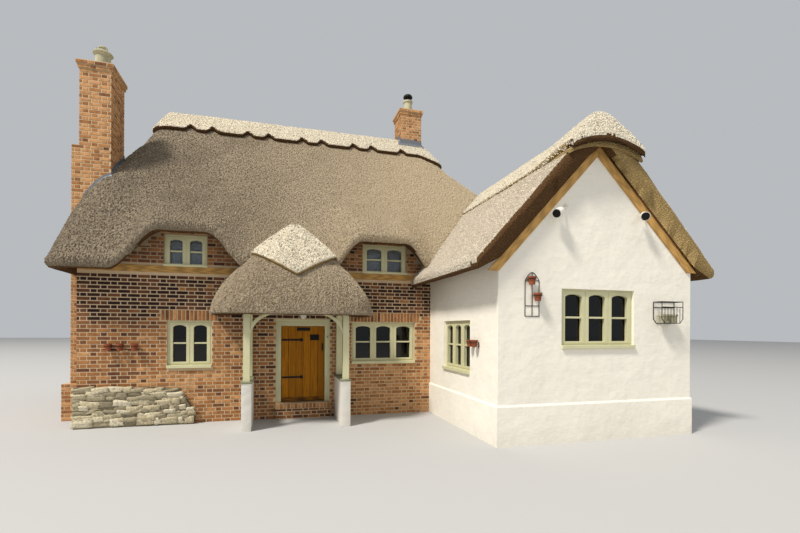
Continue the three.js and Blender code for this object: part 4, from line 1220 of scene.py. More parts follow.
class COTTAGE_OT_wing_thatch(bpy.types.Operator):
    """Builds the coat of the wing with its deep cut verge"""

    bl_idname, bl_label = "cottage.wing_thatch", "Wing thatch"

    def execute(self, context):
        straw = look("thatch")
        coat = wing_form("wing_coat", ("wing_straw", "verge_straw", "cut_straw", "dark_verge"))
        left, right = WING_MID - WING_HALF + 0.055, WING_MID + WING_HALF - 0.055
        outline = [(left, -1.0), (left, WING_UNDERSIDE), (WING_X0, WING_SEAT), (WING_MID, WING_APEX),
                   (WING_X1, WING_SEAT), (right, WING_UNDERSIDE), (right, -1.0)]
        under = prism("wing_under", [(leaning(x, z), z) for x, z in outline], VERGE_Y - 0.5, WING_BACK_Y + 0.5)
        coat = carved(ruffled(coat, straw.ruffle, seed=3.0), "wing_thatch_coat", under, verge_cut())
        sort_faces(coat.data, wing_part)
        stubs(coat, "wing_thatch_ends", straw.small_density, "wing_ends", 3, wander=0.15, steep=0.6)
        ready(coat, stands_for=("wing_thatch",))
        return {"FINISHED"}


class COTTAGE_OT_porch_thatch(bpy.types.Operator):
    """Builds the rounded coat of the porch"""

    bl_idname, bl_label = "cottage.porch_thatch", "Porch thatch"

    def execute(self, context):
        straw = look("thatch")
        coat = ruffled(porch_form("porch_coat", materials=("porch_straw", "cut_straw")), straw.ruffle, 0.4, 5.0)
        coat = carved(coat, "porch_thatch_coat", porch_form("porch_under", 0.0, True, 0.6), porch_room())
        sort_faces(coat.data, slopes_first)
        stubs(coat, "porch_thatch_ends", straw.small_density * 1.9, "porch_ends", 4, steep=-0.3)
        ready(coat, stands_for=("porch_thatch",))
        return {"FINISHED"}


def skin(name, grid, start, thickness, half, crown, materials):
    """A cap laid over a coat's grid of points, from its own lower edge to the last row of the grid.

    start holds, for each place along the loop, the row of the grid where the cap begins. The top is rounded by
    drawing it in along the axis crown.
    """
    normal = np.cross(np.roll(grid, -1, axis=1) - np.roll(grid, 1, axis=1), np.gradient(grid, axis=0))
    normal /= np.maximum(np.linalg.norm(normal, axis=2, keepdims=True), 1e-9)
    last, columns = grid.shape[0] - 1, np.arange(grid.shape[1])

    def row(share, out):
        place = start + (last - start) * share
        low = np.clip(np.floor(place).astype(int), 0, last - 1)
        part = (place - low)[:, None]
        point, lean = (
            rows[low, columns] * (1 - part) + rows[low + 1, columns] * part for rows in (grid, normal)
        )
        return point + lean * out

    shares = np.linspace(0, 1, 14)
    loops = [row(share, 0.002) for share in shares[::-1]]
    loops += [row(0.0, thickness * 0.55), row(0.012, thickness * 0.86), row(0.05, thickness)]
    loops += [row(share, thickness) for share in shares[1:]]
    top = loops[-1]
    middle = top.mean(axis=0)
    for share, rise in ((0.7, 0.55), (0.35, 0.9), (0.06, 1.0)):
        ring = top.copy()
        ring[:, crown] = middle[crown] + (top[:, crown] - middle[crown]) * share
        ring[:, 2] += 0.028 * rise
        loops.append(ring)
    return loft(name, loops, half, False, materials)


CAP_STRAW = ("ridge_straw", "cut_straw", "verge_straw")


def notch(x, places, width):
    """1 at a notch between two scallops, 0 along them."""
    return max(0.0, 1 - min(abs(x - place) for place in places) / width)


def main_cap():
    rows = np.linspace(0.74, REACH, 46)
    grid = np.array([ring_points(main_ring(t, EAVE, RIDGE), MAIN_COUNTS) for t in rows])
    start = []
    for x, y, _ in grid[20]:
        lobe = 0.034 * notch(x, SCALLOPS, 0.15) if x < 1.75 else 0.0
        hip = -0.045 * smooth((x - 2.1) / 0.5)
        start.append((CAP_FROM + lobe + hip - rows[0]) / (rows[1] - rows[0]))
    cap = skin("main_cap", grid, np.array(start), 0.105, half_count(MAIN_COUNTS), 1, CAP_STRAW)
    return ruffled(cap, 0.012, 0.4, 7.0)


def porch_cap():
    grid = np.array([end_on(porch_ring(t, PORCH_EAVE)) for t in np.linspace(0.25, 0.97, 56)])
    start = np.array([diamond_edge(column) for column in np.swapaxes(grid, 0, 1)])
    cap = skin("porch_cap", grid, start, 0.08, half_count(PORCH_COUNTS), 0, CAP_STRAW)
    return ruffled(cap, 0.008, 0.3, 9.0)


def diamond_edge(column):
    """The row where the porch cap begins: its lower edges run down to a point, seen from the front."""
    above = column[:, 2] - (3.05 + 0.56 * np.abs(column[:, 0] + 1.57))
    row = int(np.argmax(above > 0))
    return row - above[row] / (above[row] - above[row - 1]) if row else 0.0


def wing_cap():
    """A thick saddle over the wing's ridge that runs out level over the hood and past the verge."""
    places = [(CAP_FRONT, 0.04), (CAP_FRONT + 0.006, 0.016), (CAP_FRONT + 0.02, 0.004)]
    behind = VERGE_Y + HOOD_REACH
    places += level_places((CAP_FRONT + 0.04, behind, 18), (behind, -2.2, 40))
    return ruffled(saddle("wing_cap", places, 0.0, cap_foot, CAP_STRAW), 0.01, 0.4, 11.0)


def roll_foot(away, y):
    """The roll lies on the coat, and the middle of its front hangs down over the cut end of the hood."""
    hang = 0.1 * (1 - (away / 0.76) ** 2) if y < VERGE_Y else 0.0
    return wing_height(away, max(y, VERGE_Y), 0.001) - hang


def saddle(name, places, drop, foot, mats, reach=0.74):
    """A loft over the wing's ridge, from its upper surface down to the foot given."""
    aways = np.linspace(-reach, reach, 41)
    loops = []
    for y, sink in places:
        lower = [(a, foot(abs(a), y)) for a in aways[::-1]]
        upper = [(a, max(cap_crown(abs(a), y) - drop - sink, z + 0.004)) for (a, z) in lower[::-1]]
        upper[0], upper[-1] = ((a, z - 0.02) for a, z in (upper[0], upper[-1]))
        loops.append([(leaning(WING_MID + a, z), y, z) for a, z in upper + lower])
    return loft(name, loops, 0, True, mats)


def cap_crown(away, y):
    """Top of the wing's cap: it keeps its pitch nearly to the front, then falls as a small rounded hip."""
    pitch = wing_height(away, VERGE_Y + 3.0, 0.06 + 0.11 * smooth((VERGE_Y + 1.4 - y) / 1.3))
    hip = 5.44 - 0.2 * (away / 0.75) ** 2 + 2.6 * (y - CAP_FRONT)
    near = max(0.09 - abs(pitch - hip), 0.0) / 0.09
    return min(pitch, hip) - 0.022 * near * near


def cap_foot(away, y):
    """The cap lies on the coat, and hangs its own thickness past the verge."""
    rest = wing_height(away, y, 0.002) if y > VERGE_Y - 0.02 else 0.0
    return max(rest, cap_crown(away, y) - 0.15)


def cap_edge(middle):
    """Dark cut straw, partly painted shade under the cap's edge, but golden straw round the porch cap and along
    the sides of the wing's cap.
    """
    return 2 if -2.2 > middle.y > VERGE_Y + 0.05 else 1


def lay_cap(cap, name, density, seed, ends="ridge_ends"):
    """Finishes a cap: its surfaces, its straw ends and its name."""
    cap.name = cap.data.name = name + "_straw"
    sort_faces(cap.data, lambda normal, middle: 0 if normal.z > 0.12 else cap_edge(middle))
    stubs(cap, name + "_ends", density, ends, seed, wander=1.1, lift=0.004)
    ready(cap, stands_for=(name,))


class COTTAGE_OT_ridge_caps(bpy.types.Operator):
    """Lays the three ridge caps, the main one with its scalloped edge"""

    bl_idname, bl_label = "cottage.ridge_caps", "Ridge caps"

    def execute(self, context):
        density = look("thatch").cap_density
        lay_cap(main_cap(), "main_ridge_cap", density, 5)
        porch = carved(porch_cap(), "porch_cap", porch_room())
        lay_cap(porch, "porch_ridge_cap", density * 1.3, 6, "spotted_ends")
        lay_cap(wing_cap(), "wing_ridge_cap", density * 0.9, 7)
        nose = (0.048, 0.04), (0.04, 0.015), (0.02, 0.0), (0.003, 0.0)
        places = [(VERGE_Y - out, inset) for out, inset in nose]
        places += level_places((VERGE_Y + 0.02, VERGE_Y + HOOD_REACH, 8))
        ready(saddle("wing_hood_roll", places, 0.148, roll_foot, ("verge_straw",), 0.76))
        return {"FINISHED"}


# Brickwork

BRICK_MOULDS = (("stretcher", 0.217, 0.065), ("header", 0.103, 0.065), ("soldier", 0.065, 0.217))
STRETCHER, HEADER, SOLDIER = 0, 1, 2
BRICK_DEPTH, BRICK_ARRIS = 0.03, 0.004
WALL_HEAD = 3.435


def brick_mould(name, wide, tall):
    """One brick at its real size, rounded at its face only."""
    form = bmesh.new()
    x, z, y = wide / 2, tall / 2, BRICK_DEPTH / 2
    loops = (x, z, y), (x, z, -y + BRICK_ARRIS), (x - BRICK_ARRIS, z - BRICK_ARRIS, -y)
    corners = (-1, -1), (1, -1), (1, 1), (-1, 1)
    rings = [[form.verts.new((sx * a, depth, sz * b)) for sx, sz in corners] for a, b, depth in loops]
    join_rings(form, rings)
    form.faces.new(rings[0])
    form.faces.new(rings[-1])
    return from_bmesh(name, form)


class Blocks:
    """Bricks or stones, each with its place, extent, turn, kind and tint, until the node tree lays them."""

    kinds = {"extent": "FLOAT_VECTOR", "turn": "FLOAT_VECTOR", "kind": "INT", "tint": "FLOAT"}

    def __init__(self):
        self.places, self.rows = [], []

    def put(self, place, extent, turn, kind, tint):
        self.places.append(place)
        self.rows.append((extent, turn, kind, tint))

    def put_brick(self, wall, u, out, foot, head, wide, kind, tint):
        """A brick on a wall: its middle along the wall, how far it stands out, foot, head and width."""
        place = wall.origin + wall.run * u + wall.out * out
        _, whole, tall = BRICK_MOULDS[kind]
        turn = (0.0, 0.0, math.atan2(wall.run.y, wall.run.x))
        middle = (place.x, place.y, (foot + head) / 2)
        self.put(middle, (wide / whole, 1.0, (head - foot) / tall), turn, kind, min(max(tint, 0.0), 1.0))

    def lay(self, name, moulds, material_name):
        points = mesh_object(name + "_points", self.places, [])
        for (key, kind), values in zip(self.kinds.items(), zip(*self.rows)):
            give(points.data, key, kind, values)
        made = grown(
            points, name, TREES["blocks"], Block_A=moulds[0], Block_B=moulds[1], Block_C=moulds[2],
            Material=MATERIALS[material_name],
        )
        for spare in ("extent", "turn", "kind"):
            if spare in made.data.attributes:
                made.data.attributes.remove(made.data.attributes[spare])
        ready(made)


class Wall:
    """A face of brick that looks to the right of the way it runs. Bricks keep clear of its holes."""

    def __init__(self, start, run, size, holes=(), top=None, tone=None):
        self.origin, self.run, self.out = Vector((*start, 0)), Vector((*run, 0)), Vector((run[1], -run[0], 0))
        self.width, self.low, self.high = size
        self.holes, self.top, self.tone = holes, top or (lambda u: size[2]), tone or (lambda u, z: 0.5)


def free_spans(low, high, holes):
    """What is left of a course between two ends once the holes are taken out."""
    spans = [(low, high)]
    for a, b in holes:
        cut = [part for s, e in spans for part in ((s, min(e, a)), (max(s, b), e))]
        spans = [(s, e) for s, e in cut if e - s > 0.03]
    return spans


def hole_of(node, start, way):
    """The opening that a window fills in a wall that runs from its start along X or against it."""
    low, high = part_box(node)
    ends = sorted(way * (x - start) for x in (low.x, high.x))
    return ends[0] - 0.004, ends[1] + 0.004, low.z - 0.004, high.z + 0.004


def over(holes):
    """The places of the flat arches over some openings."""
    return [(a - 0.12, b + 0.12, d, d + 0.225) for a, b, c, d in holes]


def lay_bricks(wall, dice, store):
    """Adds the bricks of one face to the store in Flemish bond, cut round openings."""
    bricks = look("brick")
    course, joint, pair = bricks.course, bricks.joint, bricks.stretcher + bricks.header
    row, z = 0, wall.low
    while z + course * 0.45 < wall.high:
        top = z + course - joint
        cuts = [(a, b) for a, b, c, d in wall.holes if c < top - 0.01 and d > z + 0.01]
        for start, end in free_spans(0.0, wall.width, cuts):
            u, kind = -pair + (pair / 2 if row % 2 else 0.0), STRETCHER
            while u < end:
                wide = (bricks.header if kind else bricks.stretcher) - joint
                a, b = max(u, start + 0.001), min(u + wide, end - 0.001)
                ceiling = min(top, wall.top(a), wall.top(b))
                if b - a > 0.03 and ceiling - z > 0.02:
                    out = bricks.proud - BRICK_DEPTH / 2 + dice.uniform(-0.0015, 0.0015)
                    tint = wall.tone((a + b) / 2, z) + dice.normal(0, 0.16) - 0.1 * kind
                    store.put_brick(wall, (a + b) / 2, out, z, ceiling, b - a, kind, tint)
                u += wide + joint
                kind = STRETCHER if kind else HEADER
        row += 1
        z += course


def lay_soldiers(wall, start, end, foot, height, dice, store, tone=0.6):
    """A flat arch of bricks on end."""
    bricks = look("brick")
    count = max(1, round((end - start) / bricks.course))
    step = (end - start) / count
    for i in range(count):
        u, out = start + step * (i + 0.5), bricks.proud - 0.013
        wide, tint = step - bricks.joint, dice.normal(tone, 0.13)
        store.put_brick(wall, u, out, foot, foot + height, wide, SOLDIER, tint)


def sun_and_shade_tone(x, z):
    """Brick tint as painted light and shade: darker high on the wall as painted eave shadow, brighter low down
    and beside the openings as painted sunlight, brighter again above 3.3 m as painted reflected light.
    """
    # Painted eave shadow: the bricks darken upwards from 1.65 m.
    high = smooth((z - 1.65) / 0.9)
    # Painted sunlight: brighter bricks beside the openings.
    beside = max(smooth(reach - abs(x - mid) / wide)
                 for mid, wide, reach in ((-3.73, 0.75, 1.2), (0.5, 1.1, 1.2), (1.6, 0.5, 1.15)))
    bright = mix(0.68, 0.16, high) + 0.2 * beside * (1 - 0.5 * high)
    # Painted reflected light in the eyebrows, above 3.3 m.
    return bright + 0.36 * smooth((z - 3.3) / 0.1)


def front_bricks(dice, moulds):
    store = Blocks()
    windows = ("window_ground_left", "window_ground_right", "window_upper_left", "window_upper_right")
    holes = [hole_of(node, LEFT_X, 1) for node in windows]
    low_ones = holes[:2]
    door, plate = (3.83, 5.03, -1.0, 2.224), (0.0, 7.5, 3.155, 3.315)
    wall = Wall((LEFT_X, FRONT_Y), (1, 0), (7.465, 0.0, 4.3), [*holes, door, *over(low_ones), plate],
                lambda u: WALL_HEAD + eyebrow_lift(u + LEFT_X, FRONT_Y), lambda u, z: sun_and_shade_tone(u + LEFT_X, z))
    lay_bricks(wall, dice, store)
    for a, b, c, d in low_ones:
        lay_soldiers(wall, a - 0.11, b + 0.11, d + 0.006, 0.208, dice, store)
    step = Wall((-1.97, -3.22), (1, 0), (1.2, 0.02, 0.22))
    lay_bricks(step, dice, store)
    lay_soldiers(step, 0.0, 1.2, 0.232, 0.105, dice, store, 0.9)
    store.lay("front_bricks", moulds, "brick")


def back_and_end_bricks(dice, moulds):
    store = Blocks()
    holes = [hole_of(node, 5.8, -1) for node in WINDOWS if "back" in node]
    lintels = over([hole for hole in holes if hole[3] < 2.5])
    wall = Wall((5.8, BACK_Y), (-1, 0), (11.6, 0.0, 4.3), holes + lintels,
                lambda u: WALL_HEAD + eyebrow_lift(5.8 - u, BACK_Y), lambda u, z: sun_and_shade_tone(5.8 - u, z))
    lay_bricks(wall, dice, store)
    for a, b, c, d in lintels:
        lay_soldiers(wall, a + 0.01, b - 0.01, c + 0.006, 0.208, dice, store)
    stack = (3.1 + 1.33 - 0.002, 3.1 + 2.2 + 0.002, -1.0, 9.0)
    foot = (3.1 + 1.23 - 0.002, 3.1 + 2.3 + 0.002, -1.0, 0.8)
    for start, run, clear_of, x in (((LEFT_X, BACK_Y), (0, -1), [stack, foot], -5.0),
                                    ((5.8, FRONT_Y), (0, 1), [], 5.0)):
        wall = Wall(start, run, (6.2, 0.0, 3.44), clear_of, lambda u: WALL_HEAD,
                    lambda u, z, x=x: sun_and_shade_tone(x, z) + 0.05)
        lay_bricks(wall, dice, store)
    store.lay("back_and_end_bricks", moulds, "brick")


def chimney_bricks(dice, moulds):
    store = Blocks()

    def shaft(x0, x1, y0, y1, low, high, faces="SENW"):
        sides = {"S": (x0, y0, 1, 0), "E": (x1, y0, 0, 1), "N": (x1, y1, -1, 0), "W": (x0, y1, 0, -1)}
        for x, y, across, along in (sides[face] for face in faces):
            size = (x1 - x0 if across else y1 - y0, low, high)
            lay_bricks(Wall((x, y), (across, along), size, tone=lambda u, z: 0.6), dice, store)

    left, right = (-6.105, -5.5, -2.2, -1.33), (1.68, 2.32, -0.3, 0.42)
    shaft(*left, 5.985, 7.66)
    shaft(-6.245, *left[1:], 0.8, 5.97, "SNW")
    shaft(-6.245, *left[1:], 4.4, 5.97, "E")
    shaft(-6.375, LEFT_X, -2.3, -1.23, 0.01, 0.79, "SNW")
    shaft(*right, 6.6, 8.58)
    for (x0, x1, y0, y1), top in ((left, 7.82), (right, 8.74)):
        for n in (0, 1):
            out = 0.028 * (n + 1)
            foot = top - 0.16 + 0.08 * n
            shaft(x0 - out, x1 + out, y0 - out, y1 + out, foot + 0.004, foot + 0.08)
    store.lay("chimney_bricks", moulds, "chimney_brick")


class COTTAGE_OT_brickwork(bpy.types.Operator):
    """Lays the bricks of the main walls and of both chimneys in Flemish bond"""

    bl_idname, bl_label = "cottage.brickwork", "Brickwork"

    def execute(self, context):
        dice = np.random.default_rng(look("stage").seed)
        moulds = [brick_mould(*mould) for mould in BRICK_MOULDS]
        front_bricks(dice, moulds)
        back_and_end_bricks(dice, moulds)
        chimney_bricks(dice, moulds)
        discard(*moulds)
        sides = ("front_wall", "left_wall", "right_wall", "back_wall")
        walls = [node for node in NODES if node.startswith(sides)]
        dress("mortar", *walls, "left_chimney", "right_chimney", "door_step")
        return {"FINISHED"}


# Joinery


def light_outline(u0, u1, z0, z1, rise):
    """One light with a low arched head, anticlockwise from its lower left corner."""
    middle, shoulder = (u0 + u1) / 2, (u1 - u0) * 0.12
    right = curve_points((u1, z1 - rise), (u1 - shoulder, z1 - rise * 0.1), (middle, z1), 6)
    left = curve_points((middle, z1), (u0 + shoulder, z1 - rise * 0.1), (u0, z1 - rise), 6)
    return [(u0, z0), (u1, z0), (u1, z1 - rise), *right, *left]


def window_face(node):
    """Which way a window looks: the axis it runs along, its wall's face, and the sign of the way inwards."""
    if "wing_left" in node:
        return 1, WING_X0, 1
    if "wing_right" in node:
        return 1, WING_X1, -1
    if "back" in node:
        return 0, BACK_Y, -1
    return 0, WING_FACE_Y if "gable" in node else FRONT_Y, 1


def at_face(face, u, depth, z):
    """A place given along a wall, inwards from its face, and in height."""
    axis, plane, inward = face
    across = plane + inward * depth
    return (u, across, z) if axis == 0 else (across, u, z)


def face_block(form, face, u0, u1, near, far, z0, z1):
    """Adds a box between two depths of a wall."""
    block(form, *np.sort([at_face(face, u0, near, z0), at_face(face, u1, far, z1)], axis=0))


def surround(form, face, inner, outer, near, far):
    """Adds a closed ring between two outlines of equal count, between two depths of a wall."""
    edges = (outer, near), (inner, near), (inner, far), (outer, far)
    rings = [[form.verts.new(at_face(face, u, depth, z)) for u, z in line] for line, depth in edges]
    join_rings(form, rings, True)


def window_lights(node):
    """The holes for the lights of a window, as ends along the wall and in height."""
    low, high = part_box(node)
    axis = window_face(node)[0]
    foot = low.z + (0.0 if "upper" in node else SILL) + STILE * 0.8
    count = 3 if high[axis] - low[axis] > 1.2 else 2
    wide = (high[axis] - low[axis] - 2 * STILE - (count - 1) * MULLION) / count
    starts = [low[axis] + STILE + i * (wide + MULLION) for i in range(count)]
    return [(start, start + wide, foot, high.z - STILE) for start in starts]


def casements(node):
    """One casement in each light, proud of its frame, with a glazing bar near its middle."""
    face, form = window_face(node), bmesh.new()
    lap, half = 0.02, look("joinery").glazing_bar / 2
    for a, b, low, high in window_lights(node):
        inner = light_outline(a + 0.046, b - 0.046, low + 0.022, high - 0.034, 0.05)
        outer = [(a - lap, low - lap), (b + lap, low - lap), (b + lap, high + lap)]
        outer += [(u, high + lap) for u, z in inner[3:-1]] + [(a - lap, high + lap)]
        surround(form, face, inner, outer, 0.046, 0.118)
        bar = low + 0.03 + 0.5 * (high - low - 0.06)
        face_block(form, face, a + 0.05, b - 0.05, 0.062, 0.116, bar - half, bar + half)
    if "upper" in node:
        low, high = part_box(node)
        axis = face[0]
        face_block(form, face, low[axis] - 0.012, high[axis] + 0.012, -0.03, 0.05, low.z, low.z + 0.045)
    shaped(node + "_casements", form, "sage", 0.005)


def hang_curtain(node, light, tie):
    """A gathered curtain on a rod inside one light. tie draws its foot to the left."""
    face = window_face(node)
    a, b, low, high = window_lights(node)[light]
    high -= 0.17
    form = bmesh.new()
    ends = (at_face(face, u, CURTAIN_DEPTH, high + 0.02) for u in (a - 0.02, b + 0.02))
    rod(form, *ends, 0.008)
    pole = shaped(f"curtain_rod_{node[7:]}_{light}", form, "iron")
    columns, rows, folds = 72, 16, 9
    points = []
    for side in (0.0, CURTAIN_THICKNESS):
        for share in (row / rows for row in range(rows + 1)):
            right = mix(b, mix(b, a + 0.12, tie), share ** 1.6)
            for t in (column / columns for column in range(columns + 1)):
                wave = (0.011 + 0.009 * share) * math.sin(2 * math.pi * folds * t + 0.8 * math.sin(5 * t))
                depth = CURTAIN_DEPTH + wave + side
                points.append(at_face(face, mix(a, right, t), depth, mix(high + 0.01, low - 0.01, share)))
    count, layer = columns + 1, (columns + 1) * (rows + 1)
    faces = []
    for i in (row * count + column for row in range(rows) for column in range(columns)):
        faces.append((i, i + 1, i + count + 1, i + count))
        faces.append((layer + i, layer + i + count, layer + i + count + 1, layer + i + 1))
    rim = [*range(count), *range(2 * count - 1, layer, count), *range(layer - 2, layer - count - 1, -1),
           *range(layer - 2 * count, 0, -count)]
    faces += [(i, i + layer, j + layer, j) for i, j in zip(rim, rim[1:] + rim[:1])]
    form = bmesh.new()
    verts = [form.verts.new(point) for point in points]
    for face in faces:
        form.faces.new([verts[i] for i in face])
    made = shaped(f"curtain_{node[7:]}_{light}", form, "curtain")
    smoothed(made.data)


class COTTAGE_OT_windows(bpy.types.Operator):
    """Makes the painted frames with their casements and glazing bars, the panes and the curtains"""

    bl_idname, bl_label = "cottage.windows", "Windows"

    def execute(self, context):
        for node in WINDOWS:
            softened(node, node + "_frame", ("sage",), 0.004)
            casements(node)
        for node in PANES:
            # The upper panes take the pale painted sky reflection, the others the near-black tint of painted
            # shade.
            dress("clear_glass" if node.startswith("glass_upper") else "glass", node)
        for curtain in CURTAINS:
            hang_curtain(*curtain)
        return {"FINISHED"}


def door_boards(low, high):
    """Upright boards, each of its own tone."""
    dice = np.random.default_rng(look("stage").seed + 1)
    cuts = low.x + (high.x - low.x) * np.array((0.0, 0.16, 0.335, 0.5, 0.67, 0.84, 1.0))
    form = bmesh.new()
    for a, b in zip(cuts, cuts[1:]):
        block(form, (a + 0.002, low.y, low.z), (b - 0.002, low.y + 0.02, high.z))
    boards = shaped("door_boards", form, "door_tint", 0.008, DOOR, ("front_door",))
    tones = dice.permutation(np.linspace(0.1, 1.0, len(cuts)))
    give(boards.data, "tint", "FLOAT", [tones[np.searchsorted(cuts, v.co.x)] for v in boards.data.vertices])


def door_ledges(low, high):
    """The core behind the gaps of the boards, the ledges at the back and the weather board at the foot."""
    form = bmesh.new()
    block(form, (low.x + 0.004, low.y + 0.009, low.z + 0.003), (high.x - 0.004, low.y + 0.0195, high.z - 0.003))
    for foot in (0.16, 0.84, 1.5):
        block(form, (low.x + 0.04, low.y + 0.021, low.z + foot), (high.x - 0.03, high.y, low.z + foot + 0.13))
    block(form, (low.x + 0.002, low.y - 0.013, low.z + 0.002), (high.x - 0.002, low.y - 0.0005, low.z + 0.095))
    shaped("door_ledges", form, "door_rail", 0.004, DOOR)


def frame_bead(low, high):
    """A raised moulding round the outer edge of the frame."""
    form = bmesh.new()
    for x0, z0, x1, z1 in ((low.x, low.z, low.x + 0.036, high.z), (high.x - 0.036, low.z, high.x, high.z),
                           (low.x + 0.0364, high.z - 0.04, high.x - 0.0364, high.z)):
        block(form, (x0, low.y - 0.016, z0), (x1, low.y - 0.0004, z1))
    shaped("door_frame_bead", form, "sage", 0.005)


def door_ironwork(face):
    """Straps with their nails, the latch, the letter plate and the barred spy hole."""
    straps = ("door_strap_lower", "door_strap_upper")
    for node in (*straps, "door_latch"):
        softened(node, node + "_forged", ("iron",), 0.0018, DOOR)
    form = bmesh.new()
    for a, b in map(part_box, straps):
        for share in (0.06, 0.32, 0.58, 0.84):
            x, z = mix(a.x, b.x, share), (a.z + b.z) / 2
            rod(form, (x, a.y + 0.002, z), (x, a.y - 0.006, z), 0.011, 10, 0.005)
    for x0, z0, x1, z1, out, back in (
        (-1.507, 1.958, -1.216, 2.032, 0.006, 0.0004), (-1.497, 1.972, -1.226, 2.018, 0.011, 0.0065),
        (-1.216, 1.743, -1.012, 1.871, 0.003, 0.0004), (-1.216, 1.743, -1.012, 1.757, 0.014, 0.0035),
        (-1.216, 1.857, -1.012, 1.871, 0.014, 0.0035), (-1.216, 1.7575, -1.202, 1.8565, 0.014, 0.0035),
        (-1.026, 1.7575, -1.012, 1.8565, 0.014, 0.0035),
    ):
        block(form, (x0, face - out, z0), (x1, face - back, z1))
    for x in np.linspace(-1.202, -1.026, 6)[1:-1]:
        rod(form, (x, face - 0.008, 1.756), (x, face - 0.008, 1.858), 0.0045, 6)
    shaped("door_plates", form, "iron", 0.0015, DOOR)


class COTTAGE_OT_front_door(bpy.types.Operator):
    """Makes the boarded front door with its ironwork, and the painted frame it hangs in"""

    bl_idname, bl_label = "cottage.front_door", "Front door"

    def execute(self, context):
        low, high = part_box("front_door")
        door_boards(low, high)
        door_ledges(low, high)
        door_ironwork(low.y)
        frame_bead(*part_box("door_frame"))
        frame = softened("door_frame", "door_frame_painted", ("sage", "iron"), 0.004)
        sort_faces(frame.data, lambda normal, middle: 1 if middle.y > -2.9618 else 0)
        return {"FINISHED"}


class COTTAGE_OT_timberwork(bpy.types.Operator):
    """Makes the porch frame on its piers, the wall plate and the bargeboards"""

    bl_idname, bl_label = "cottage.timberwork", "Timberwork"

    def execute(self, context):
        softened("porch_frame", "porch_timbers", ("sage",), 0.007)
        for side in ("left", "right"):
            node = "porch_plinth_" + side
            pier = softened(node, node + "_pier", ("masonry", "capstone"), 0.006)
            sort_faces(pier.data, lambda normal, middle: 1 if middle.z > 0.9245 else 0)
            softened("bargeboard_" + side, f"bargeboard_{side}_oak", ("oak_" + side,), 0.005)
        form = bmesh.new()
        block(form, (LEFT_X + 0.004, FRONT_Y - 0.02, 3.168), (WING_X0 - 0.004, FRONT_Y - 0.0005, 3.308))
        shaped("wall_plate", form, "oak_plate", 0.005)
        return {"FINISHED"}


# Stone, lead and clay


def stone_mould(name, seed):
    """One rough stone of unit size, rounded and knocked about."""
    form = bmesh.new()
    bmesh.ops.create_cube(form, size=1.0)
    bmesh.ops.subdivide_edges(form, edges=form.edges, cuts=3, use_grid_fill=True)
    shift = Vector(np.random.default_rng(seed).uniform(-9, 9, 3))
    mathutils.noise.seed_set(seed)
    for vert in form.verts:
        vert.co = vert.co.lerp(vert.co.normalized() * 0.6, 0.24)
        vert.co += 0.16 * mathutils.noise.noise_vector(vert.co * 1.7 + shift)
        vert.co += 0.06 * mathutils.noise.noise_vector(vert.co * 5.0 - shift)
    made = from_bmesh(name, form)
    smoothed(made.data)
    return made


def footing_top(x):
    """Height of the rubble footing along the front."""
    return mix(0.81, 0.74, (x + 5.8) / 1.9) if x < -3.9 else mix(0.74, 0.25, (x + 3.9) / 0.275)


def put_stone(store, dice, x, wide, z, top):
    """One stone from its left end, its width, and its foot and top. It overlaps its neighbours a little."""
    proud, depth, tall = dice.uniform(0.006, 0.04), 0.13, (top - z) * 1.22
    middle = max((z + top) / 2, tall * 0.66)
    place = (x + wide / 2, -3.25 - proud + depth / 2, middle)
    lean = 0.14 if middle > 0.12 else 0.0
    turn = (0.0, dice.uniform(-lean, lean), dice.choice((0.0, math.pi)))
    store.put(place, (wide * 1.08, depth, tall), turn, int(dice.integers(3)), dice.uniform(0.0, 1.0))


class COTTAGE_OT_footing(bpy.types.Operator):
    """Lays the field stones of the footing"""

    bl_idname, bl_label = "cottage.footing", "Rubble footing"

    def execute(self, context):
        dice = np.random.default_rng(look("stage").seed + 2)
        moulds = [stone_mould(f"stone_{n}", n + 4) for n in range(3)]
        store = Blocks()
        z = 0.0
        while z < 0.76:
            tall = dice.uniform(0.06, 0.13)
            x = LEFT_X - dice.uniform(0.0, 0.02)
            while x < -3.66:
                wide = dice.uniform(0.09, 0.36 if x < -4.1 else 0.16)
                foot = max(z + dice.uniform(-0.025, 0.025), 0.0)
                top = min(foot + tall, footing_top(min(x + 0.6 * wide, -3.63)) + dice.uniform(-0.01, 0.03))
                if top - foot > 0.03 and x + wide < -3.58:
                    put_stone(store, dice, x, wide, foot, top)
                x += wide
            z += tall
        store.lay("footing_stones", moulds, "stone")
        discard(*moulds)
        dress("earth_mortar", "rubble_footing")
        return {"FINISHED"}


class COTTAGE_OT_wing_walls(bpy.types.Operator):
    """Limewashes the walls of the wing, adds their plinth, and lays the floors"""

    bl_idname, bl_label = "cottage.wing_walls", "Wing walls and floors"

    def execute(self, context):
        dress("render", "wing_left_wall", "wing_gable_wall", "wing_right_wall")
        dress("flags", "ground_floor")
        dress("boards", "upper_floor")
        section = (0.025, 0.0), (0.025, 0.672), (0.021, 0.685), (0.0005, 0.712), (0.0005, 0.0)
        form = bmesh.new()
        corners = ((WING_X0, -1, FRONT_Y - 0.001, 0), (WING_X0, -1, WING_FACE_Y, -1),
                   (WING_X1, 1, WING_FACE_Y, -1), (WING_X1, 1, FRONT_Y - 0.001, 0))
        rings = [[form.verts.new((x + out * sx, y + out * sy, z)) for out, z in section]
                 for x, sx, y, sy in corners]
        join_rings(form, rings)
        form.faces.new(rings[0])
        form.faces.new(rings[-1])
        shaped("wing_plinth", form, "render")
        return {"FINISHED"}


def roof_height(x, y):
    """Top of the straw at a place on the main roof."""
    heights = [0.0]
    for name in ("main_thatch_coat", "main_ridge_cap_straw"):
        hit, place, _, _ = bpy.data.objects[name].ray_cast((x, y, 12.0), (0, 0, -1))
        if hit:
            heights.append(place.z)
    return max(heights)


